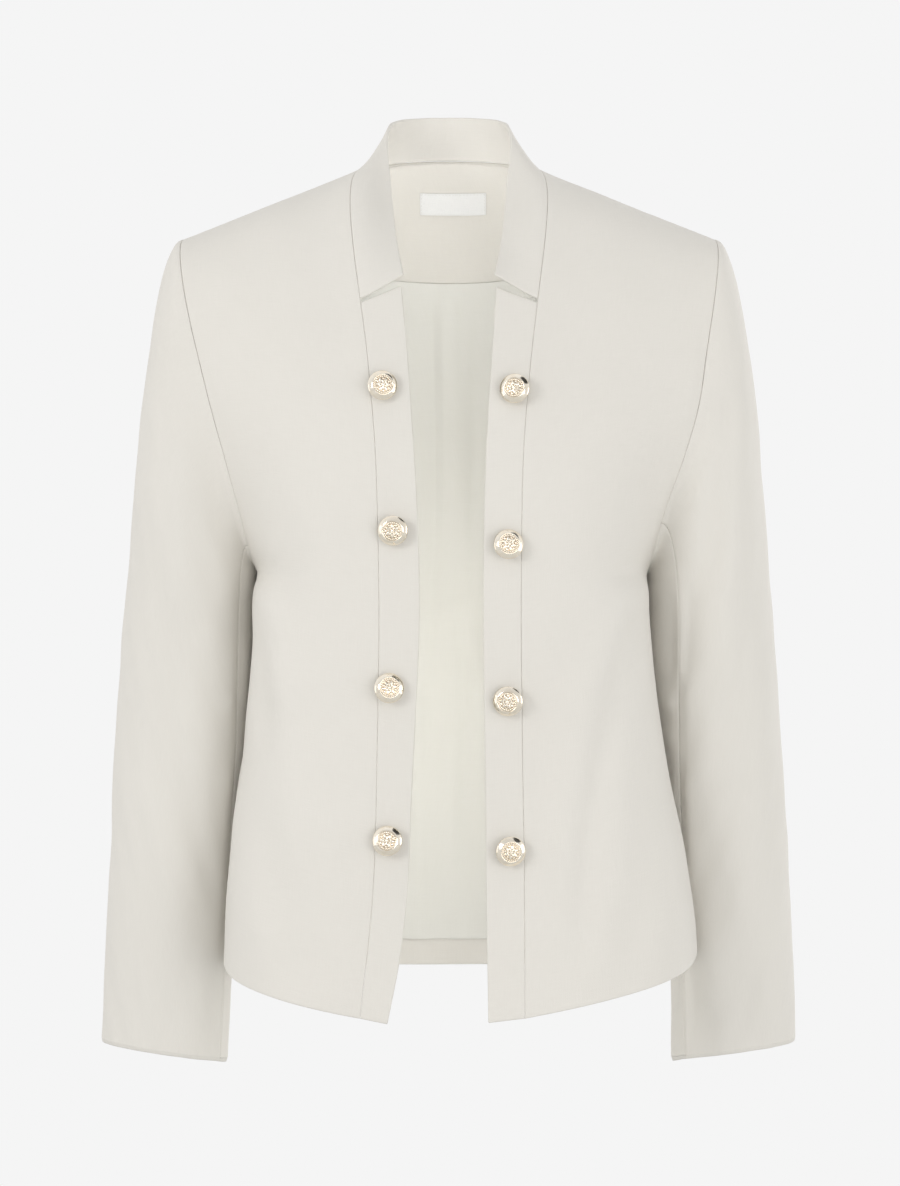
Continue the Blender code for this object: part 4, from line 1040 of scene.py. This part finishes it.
def make_facing(grid, finishes):
    free = near(grid, ("first_row", "last_row"), FACING_BORDER)
    grid = crease(grid, CREASES["facing"], BEHIND, -free)
    grid = wave(grid, BEHIND, INSIDE_WAVES * free, SEEDS["facing"])
    grid = set_back(grid, ("last_row",), FACING_SETBACK)
    thin = 1 - FACING_THIN * smoothstep(*THIN_REACH, edge_distances(grid)["last_row"])
    made = cloth("neck_facing_cloth", grid, BEHIND, FACING_WALL, (finishes["suiting"],),
                 ("last_row",), thin=thin)
    declare_sheet(made, "back_neck_facing")
    return grid


def make_lining(grid, finishes):
    low = int(np.argmin(np.abs(grid[:, grid.shape[1] // 2, 2] - LINING_HEM)))
    grid = pleat(grid[low:])
    free = near(grid, ("last_row",), LINING_BORDER)
    grid = crease(grid, CREASES["lining"], BEHIND, -free)
    grid = grid - (LINING_EASE * free)[..., None] * normals(grid, BEHIND)
    grid = wave(grid, BEHIND, INSIDE_WAVES * free, SEEDS["lining"])
    grid = set_back(grid, ("last_row",), SEAM_GAP)
    made = cloth("back_lining_cloth", grid, BEHIND, LINING_WALL, (finishes["lining"],))
    declare_sheet(made, "back_lining")


def pleat(grid):
    """The lining's ease pleat at the centre back: a lap that stands out most below the facing."""
    x, z = grid[..., 0], grid[..., 2]
    (start, stop), (first, last) = PLEAT, PLEAT_EDGES
    lap = (smoothstep(start + first[0], start + first[1], x)
           * smoothstep(stop + last[0], stop + last[1], x))
    fade = near(grid, ("last_row",), PLEAT_FADE)
    lap = lap * (PLEAT_TOP + (1 - PLEAT_TOP) * fade)
    rise = PLEAT_SHARES[0] + PLEAT_SHARES[1] * smoothstep(PLEAT_FOOT, FACING_DROP, z)
    lift = rise * PLEAT_RISE * lap * smoothstep(*PLEAT_HEM, z)
    return grid - lift[..., None] * normals(grid, BEHIND)


def make_label(facing, finishes):
    """A plain woven label on the facing's inner face, sewn at its top and ends; its lower
    edge stands off a little."""
    inner = facing - FACING_WALL * normals(facing, BEHIND)
    (x0, z0), (width, height) = LABEL_CENTRE, LABEL_SIZE
    columns, shares = [], np.linspace(-.5, .5, LABEL_FINE[1])
    for across in np.linspace(-.5, .5, LABEL_FINE[0]):
        x, z = x0 + width * across, z0 + height * shares
        profile = np.array([[np.interp(x, row[:, 0], row[:, axis]) for axis in (2, 1)]
                            for row in inner])
        columns.append(np.stack([0 * z + x, np.interp(z, *profile.T), z], -1))
    sheet = np.array(columns)
    across = np.linspace(-1, 1, LABEL_FINE[0])[:, None]
    bow = LABEL_BOW * (1 - across ** LABEL_FLATNESS) * smoothstep(*LABEL_LOOSE, shares)[None]
    ripple, along, up = LABEL_RIPPLE
    reach = SEAM_GAP + LABEL_FLAT + bow + ripple * np.sin(across * along + up * shares[None])
    sheet = sheet - reach[..., None] * normals(sheet, BEHIND)
    made = cloth("neck_label_cloth", sheet, AHEAD, LABEL_FLAT, (finishes["label"],))
    declare_sheet(made, "neck_label")
    way, last = normals(sheet, AHEAD), -1 - LABEL_INSET
    lines = [(sheet[:, last], way[:, last])]
    lines += [(sheet[column], way[column]) for column in (LABEL_INSET, last)]
    make_stitches("neck_label_stitches", lines, finishes["thread"])


def make_stitches(name, lines, finish):
    """Short raised stitches along lines of points, as one mesh."""
    bodies = []
    for line, way in lines:
        place = np.concatenate([[0], np.cumsum(np.linalg.norm(np.diff(line, axis=0), axis=-1))])
        count = int(place[-1] // (STITCH + STITCH_GAP))
        for number in range(count):
            start = (number + .5) * place[-1] / count - STITCH / 2
            bodies.append(stitch_body(start + STITCH * STITCH_ALONG, place, line, way))
    faces = []
    for number, body in enumerate(bodies):
        faces += stitch_faces(number * len(body))
    made = linked(name, mesh_of(name, np.concatenate(bodies) * MM, faces, (finish,)))
    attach(made, "root")


def stitch_body(at, place, line, way):
    """Points round one stitch, ring by ring, at the given lengths along its line."""
    spine = np.stack([np.interp(at, place, line[:, axis]) for axis in range(3)], -1)
    up = unit(np.stack([np.interp(at, place, way[:, axis]) for axis in range(3)], -1))
    side = unit(np.cross(unit(np.gradient(spine, axis=0)), up))
    spine = spine + up * (STITCH_LIFT * STITCH_RADIUS)[:, None]
    turn = np.arange(STITCH_CORNERS) * math.pi / (STITCH_CORNERS / 2)
    ring = side[:, None] * np.cos(turn)[:, None] + up[:, None] * np.sin(turn)[:, None]
    return (spine[:, None] + ring * (STITCH_FULL * STITCH_RADIUS)[:, None, None]).reshape(-1, 3)


def stitch_faces(first):
    """Sides and two end caps of the stitch whose points start at first."""
    rings = first + np.arange(len(STITCH_ALONG) * STITCH_CORNERS).reshape(-1, STITCH_CORNERS)
    after = np.roll(rings, -1, axis=1)
    sides = np.stack([rings[:-1], after[:-1], after[1:], rings[1:]], -1).reshape(-1, 4)
    return sides.tolist() + [rings[0, ::-1].tolist(), rings[-1].tolist()]


# ---------------------------------------------------------------- buttons
def ring_profile():
    """Radii and heights down a button's section: relief field, groove, bevelled rim, back."""
    field = np.arange(FIELD_STEP, FIELD_RADIUS + SLIVER, FIELD_STEP)
    rim = np.array(BUTTON_RIM)
    back = np.array(BUTTON_BACK)
    radii = np.concatenate([field, rim[:, 0], back[:, 0]])
    crown = FIELD_TOP - FIELD_FALL * (field / FIELD_RADIUS) ** 2
    return radii, np.concatenate([crown, rim[:, 1], back[:, 1]]), len(field)


def rosette(radius, angle):
    """Relief in mm on the button's field: a boss, rounds of petals, beads and grain."""
    height = BOSS_RISE * np.sqrt(np.maximum(0, 1 - (radius / BOSS_RADIUS) ** 2))
    for count, start, stop, turn, rise in PETALS:
        across = np.abs(np.sin((angle - turn) * count / 2))
        reach = start + (stop - start) * (1 - across ** PETAL_POINT)
        inside = (smoothstep(start + PETAL_FOOT[0], start + PETAL_FOOT[1], radius)
                  * smoothstep(reach + PETAL_TIP[0], reach + PETAL_TIP[1], radius))
        vein = 1 - VEIN_DEPTH * np.exp(-(across / VEIN_WIDTH) ** 2)
        arch = 1 - PETAL_ARCH * across ** PETAL_ARCH_POWER
        height = np.maximum(height, rise * inside * arch * vein)
    step = 2 * math.pi / BEADS
    beside = (np.mod(angle, step) - step / 2) * BEAD_RING
    away = np.hypot(beside, radius - BEAD_RING)
    bead = BEAD_RISE * np.sqrt(np.maximum(0, 1 - (away / BEAD_RADIUS) ** 2))
    height = np.maximum(height, bead)
    (out, turns), (round_turns, round_out) = GRAIN_WAVES
    grain = GRAIN_HEIGHT * np.sin(radius * out + 2 * np.sin(angle * turns))
    grain = grain * np.cos(angle * round_turns + radius * round_out)
    return height + grain * smoothstep(BEAD_RING, BEAD_RING - GRAIN_BORDER, radius)


def button_place(side, x, z, lean, nod, sign):
    """Rotation and place of a button, as its solid has them."""
    point, normal = band_place(side, x, z)
    seat = SEAM_GAP - BUTTON_BACK[-1][1]
    rise = math.asin(-normal[2])
    turned = Euler((math.radians(90 + nod) + rise, 0, math.radians(lean))).to_matrix()
    return np.array(turned), mirrored(point + seat * normal, sign)


def make_button(name, turned, place, spin, finish):
    radii, heights, field = ring_profile()
    angles = np.arange(BUTTON_AROUND) * 2 * math.pi / BUTTON_AROUND
    r, a = np.meshgrid(radii, angles, indexing="ij")
    h = np.repeat(heights[:, None], BUTTON_AROUND, axis=1)
    relief = rosette(r[:field], a[:field])
    h[:field] += relief
    rings = np.stack([r * np.cos(a + spin), r * np.sin(a + spin), h], -1).reshape(-1, 3)
    top = FIELD_TOP + float(rosette(np.zeros(1), np.zeros(1))[0])
    poles = [[0, 0, top], [0, 0, heights[-1] - BUTTON_DISH]]
    points = (np.concatenate([rings, poles]) @ turned.T + place) * MM
    index = np.arange(len(rings)).reshape(len(radii), BUTTON_AROUND)
    after = np.roll(index, -1, axis=1)
    faces = np.stack([index[:-1], index[1:], after[1:], after[:-1]], -1).reshape(-1, 4).tolist()
    faces += [[len(rings), first, second] for first, second in zip(index[0], after[0])]
    faces += [[len(rings) + 1, second, first] for first, second in zip(index[-1], after[-1])]
    mesh = mesh_of(name, points, faces, (finish,))
    # Painted shade: the low parts of the relief are marked here, so that the gold is darkened there
    # for the shade in them.
    hollow_shade = np.zeros(len(points))
    hollow_shade[:relief.size] = smoothstep(*HOLLOW_SHADE_HEIGHTS, relief).ravel()
    mesh.attributes.new("hollow_shade", "FLOAT", "POINT").data.foreach_set("value", hollow_shade)
    return linked(name, mesh)


def make_buttons(finishes):
    for side, sign in SIDES.items():
        for number, (x, z, lean, nod) in enumerate(zip(*BUTTONS[side].values()), 1):
            turned, place = button_place(side, x, z, lean, nod, sign)
            node, spin = f"button_{side}_{number}", SPINS[side][number - 1]
            made = make_button(node + "_metal", turned, place, spin, finishes["gold"])
            settle(made, node)


# ---------------------------------------------------------------- materials
def add(tree, kind, inputs=None, **settings):
    """A shader node with its settings, and its inputs set to numbers or linked to outputs."""
    made = tree.nodes.new("ShaderNode" + kind)
    for key, value in settings.items():
        setattr(made, key, value)
    for key, value in (inputs or {}).items():
        if isinstance(value, bpy.types.NodeSocket):
            tree.links.new(value, made.inputs[key])
        else:
            made.inputs[key].default_value = value
    return made


def arith(tree, operation, first, second=0.0, third=None):
    inputs = {0: first, 1: second}
    if third is not None:
        inputs[2] = third
    return add(tree, "Math", inputs, operation=operation).outputs[0]


def blank(name, **sockets):
    """A new material, with the given values on its shader's own sockets."""
    made = bpy.data.materials.new(name)
    made.use_nodes = True
    tree = made.node_tree
    shader = tree.nodes["Principled BSDF"]
    for key, value in sockets.items():
        shader.inputs[key.replace("_", " ")].default_value = value
    return made, tree, shader


def threads(tree, pitch):
    """Height of a plain weave of the given thread pitch in metres, on the cut's own places."""
    places = add(tree, "SeparateXYZ", {0: add(tree, "UVMap", uv_map="cut").outputs[0]})
    waves = []
    for axis in (0, 1):
        turned = arith(tree, "MULTIPLY", places.outputs[axis], math.pi / pitch)
        waves.append(arith(tree, "SINE", turned))
    return arith(tree, "MULTIPLY", waves[0], waves[1])


def noise(tree, place, scale, detail):
    inputs = {"Vector": place, "Scale": scale, "Detail": detail}
    return add(tree, "TexNoise", inputs).outputs[0]


def slubs(tree, across, along):
    """Uneven yarns both ways: thin streaks, so many to the metre across and along."""
    uv = add(tree, "UVMap", uv_map="cut").outputs[0]
    streaks = []
    for scale in ((across, along, 1), (along, across, 1)):
        mapped = add(tree, "Mapping", {"Vector": uv, "Scale": scale}).outputs[0]
        streaks.append(noise(tree, mapped, 1.0, 2.0))
    return arith(tree, "ADD", streaks[0], streaks[1])


def mapped_to(tree, value, span, low, high):
    inputs = {"Value": value, "From Min": span[0], "From Max": span[1],
              "To Min": low, "To Max": high}
    return add(tree, "MapRange", inputs).outputs[0]


def mottled(tree, scale, low, high):
    """A broad unevenness between two values, in the object's own space."""
    place = add(tree, "TexCoord").outputs["Object"]
    return mapped_to(tree, noise(tree, place, scale, 3.0), CLOUD_SPAN, low, high)


def mixed(tree, share, first, second):
    inputs = {0: share, 6: first, 7: second}
    return add(tree, "Mix", inputs, data_type="RGBA").outputs[2]


def tinted(tree, shader, share, tints):
    dark, light = ((*tint, 1) for tint in tints)
    tree.links.new(mixed(tree, share, dark, light), shader.inputs["Base Color"])


def rough(tree, shader, value):
    tree.links.new(value, shader.inputs["Roughness"])


def raised(tree, shader, height, distance, strength):
    bump = add(tree, "Bump", {"Height": height, "Distance": distance, "Strength": strength})
    tree.links.new(bump.outputs[0], shader.inputs["Normal"])


def suiting():
    made, tree, shader = blank("cream_suiting_woven", Sheen_Weight=.10, Sheen_Roughness=.5,
                               Specular_IOR_Level=.25)
    pitch, across, along = SUITING_WEAVE
    weave, yarns = threads(tree, pitch), slubs(tree, across, along)
    by_yarns, own, by_weave = SUITING_SHARES
    share = arith(tree, "MULTIPLY_ADD", yarns, by_yarns, own)
    share = arith(tree, "ADD", share, mottled(tree, *SUITING_MOTTLE))
    share = arith(tree, "MULTIPLY_ADD", weave, by_weave, share)
    tinted(tree, shader, share, SUITING_TINTS)
    rough(tree, shader, mapped_to(tree, yarns, YARN_SPAN, *SUITING_ROUGH))
    relief, *size = SUITING_RELIEF
    raised(tree, shader, arith(tree, "MULTIPLY_ADD", weave, relief, yarns), *size)
    return made


def lining():
    made, tree, shader = blank("cream_lining_satin", Specular_IOR_Level=.35, Sheen_Weight=.05)
    pitch, across, along = LINING_WEAVE
    weave, yarns = threads(tree, pitch), slubs(tree, across, along)
    clouds = mottled(tree, *LINING_MOTTLE)
    tinted(tree, shader, arith(tree, "MULTIPLY_ADD", yarns, LINING_SHARE, clouds), LINING_TINTS)
    rough(tree, shader, mapped_to(tree, yarns, YARN_SPAN, *LINING_ROUGH))
    relief, *size = LINING_RELIEF
    raised(tree, shader, arith(tree, "MULTIPLY_ADD", weave, relief, yarns), *size)
    return made


def label_weave():
    made, tree, shader = blank("white_label_woven", Specular_IOR_Level=.3)
    pitch, across, along = LABEL_WEAVE
    weave, yarns = threads(tree, pitch), slubs(tree, across, along)
    tinted(tree, shader, arith(tree, "MULTIPLY_ADD", weave, LABEL_SHARE, yarns), LABEL_TINTS)
    rough(tree, shader, arith(tree, "MULTIPLY_ADD", yarns, *LABEL_ROUGH))
    raised(tree, shader, weave, *LABEL_RELIEF)
    return made


def thread():
    made, tree, shader = blank("white_thread_twist", Specular_IOR_Level=.4)
    place = add(tree, "TexCoord").outputs["Object"]
    inputs = {"Vector": place, "Scale": THREAD_TWIST[0], "Distortion": THREAD_TWIST[1]}
    twist = add(tree, "TexWave", inputs, bands_direction="DIAGONAL").outputs["Fac"]
    tinted(tree, shader, twist, THREAD_TINTS)
    rough(tree, shader, arith(tree, "MULTIPLY_ADD", twist, *THREAD_ROUGH))
    raised(tree, shader, twist, *THREAD_RELIEF)
    return made


def gold():
    made, tree, shader = blank("pale_gold_polished", Metallic=1.0, Coat_Weight=.15,
                               Coat_Roughness=.08)
    place = add(tree, "TexCoord").outputs["Object"]
    cloud = noise(tree, place, *GOLD_CLOUD)
    # Painted shade: where the relief is low, the gold turns to the darker tint for the shade in its
    # low parts.
    dark, light, shade_tint = ((*tint, 1) for tint in (*GOLD_TINTS, GOLD_HOLLOW_SHADE))
    hollow_shade = add(tree, "Attribute", attribute_name="hollow_shade").outputs["Fac"]
    colour = mixed(tree, hollow_shade, mixed(tree, cloud, dark, light), shade_tint)
    tree.links.new(colour, shader.inputs["Base Color"])
    by_cloud, *by_hollow = GOLD_ROUGH
    base = arith(tree, "MULTIPLY_ADD", hollow_shade, *by_hollow)
    rough(tree, shader, arith(tree, "MULTIPLY_ADD", cloud, by_cloud, base))
    raised(tree, shader, noise(tree, place, *GOLD_FINE), *GOLD_RELIEF)
    return made


def floor_finish():
    made, tree, shader = blank("studio_floor_pale", Specular_IOR_Level=.2)
    tinted(tree, shader, mottled(tree, *FLOOR_MOTTLE), FLOOR_TINTS)
    shader.inputs["Roughness"].default_value = FLOOR_ROUGH
    return made


# ---------------------------------------------------------------- studio
def make_camera():
    data = bpy.data.cameras.new("camera")
    data.lens, data.sensor_width, data.sensor_fit = LENS, SENSOR, "AUTO"
    data.clip_start, data.clip_end = CLIP
    made = linked("camera", data)
    made.location, made.rotation_euler = CAMERA, (math.radians(90), 0, 0)
    bpy.context.scene.camera = made


def lamp(name, place, size, energy, tint):
    data = bpy.data.lights.new(name, "AREA")
    data.shape, data.size, data.size_y = "RECTANGLE", *size
    data.energy, data.color = energy, tint
    made = linked(name, data)
    made.location = place
    return made


def make_lights():
    for name, place, *rest in LIGHTS:
        aim = Vector(AIM) - Vector(place)
        made = lamp(name, place, *rest)
        made.rotation_euler = aim.to_track_quat("-Z", "Y").to_euler()


def make_inside_lights():
    """Soft lamps inside the empty garment, which light the lining and the facing."""
    for number, light in enumerate(INSIDE_LIGHTS, 1):
        made = lamp(f"inside_{number}", *light)
        made.rotation_euler = math.radians(90), 0, 0
        made.visible_camera = False


def make_world():
    """A pale studio all round, a little darker ahead of the garment than behind it, with two
    dark cards that show in the buttons."""
    world = bpy.data.worlds.new("studio")
    world.use_nodes = True
    tree = world.node_tree
    ground = tree.nodes["Background"]
    way = add(tree, "TexCoord").outputs["Generated"]
    place = add(tree, "SeparateXYZ", {0: way})
    strength = add(tree, "MapRange", {"Value": place.outputs[1], "From Min": WORLD_TURN[0],
                                      "From Max": WORLD_TURN[1], "To Min": WORLD_AHEAD,
                                      "To Max": WORLD_BEHIND},
                   interpolation_type="SMOOTHSTEP").outputs[0]
    for direction, width in CARDS:
        toward = add(tree, "VectorMath", {0: way, 1: direction}, operation="DOT_PRODUCT")
        card = arith(tree, "GREATER_THAN", toward.outputs["Value"], width)
        clear = arith(tree, "MULTIPLY_ADD", card, -CARD_SHADE, 1.0)
        strength = arith(tree, "MULTIPLY", strength, clear)
    tree.links.new(strength, ground.inputs["Strength"])
    ground.inputs["Color"].default_value = (1, 1, 1, 1)
    bpy.context.scene.world = world


def make_floor():
    turn = np.arange(FLOOR_SIDES) * 2 * math.pi / FLOOR_SIDES
    edge = np.stack([FLOOR_RADIUS * np.cos(turn), FLOOR_RADIUS * np.sin(turn), 0 * turn + FLOOR_Z], -1)
    mesh = bpy.data.meshes.new("floor")
    mesh.from_pydata(edge.tolist(), [], [list(range(FLOOR_SIDES))])
    mesh.materials.append(floor_finish())
    linked("floor", mesh)


# ---------------------------------------------------------------- putting it together
def main():
    scene = bpy.context.scene
    scene.view_settings.view_transform = "Standard"
    make_camera()
    make_world()
    make_lights()
    make_inside_lights()
    make_floor()
    finishes = {"suiting": suiting(), "lining": lining(), "label": label_weave(),
                "thread": thread(), "gold": gold()}
    plain, whole = body_grids()
    make_fronts(plain, finishes)
    back = make_back(whole, finishes)
    make_bands(finishes)
    make_collar(finishes)
    make_sleeves(plain, finishes)
    make_inside(back, finishes)
    make_buttons(finishes)


main()
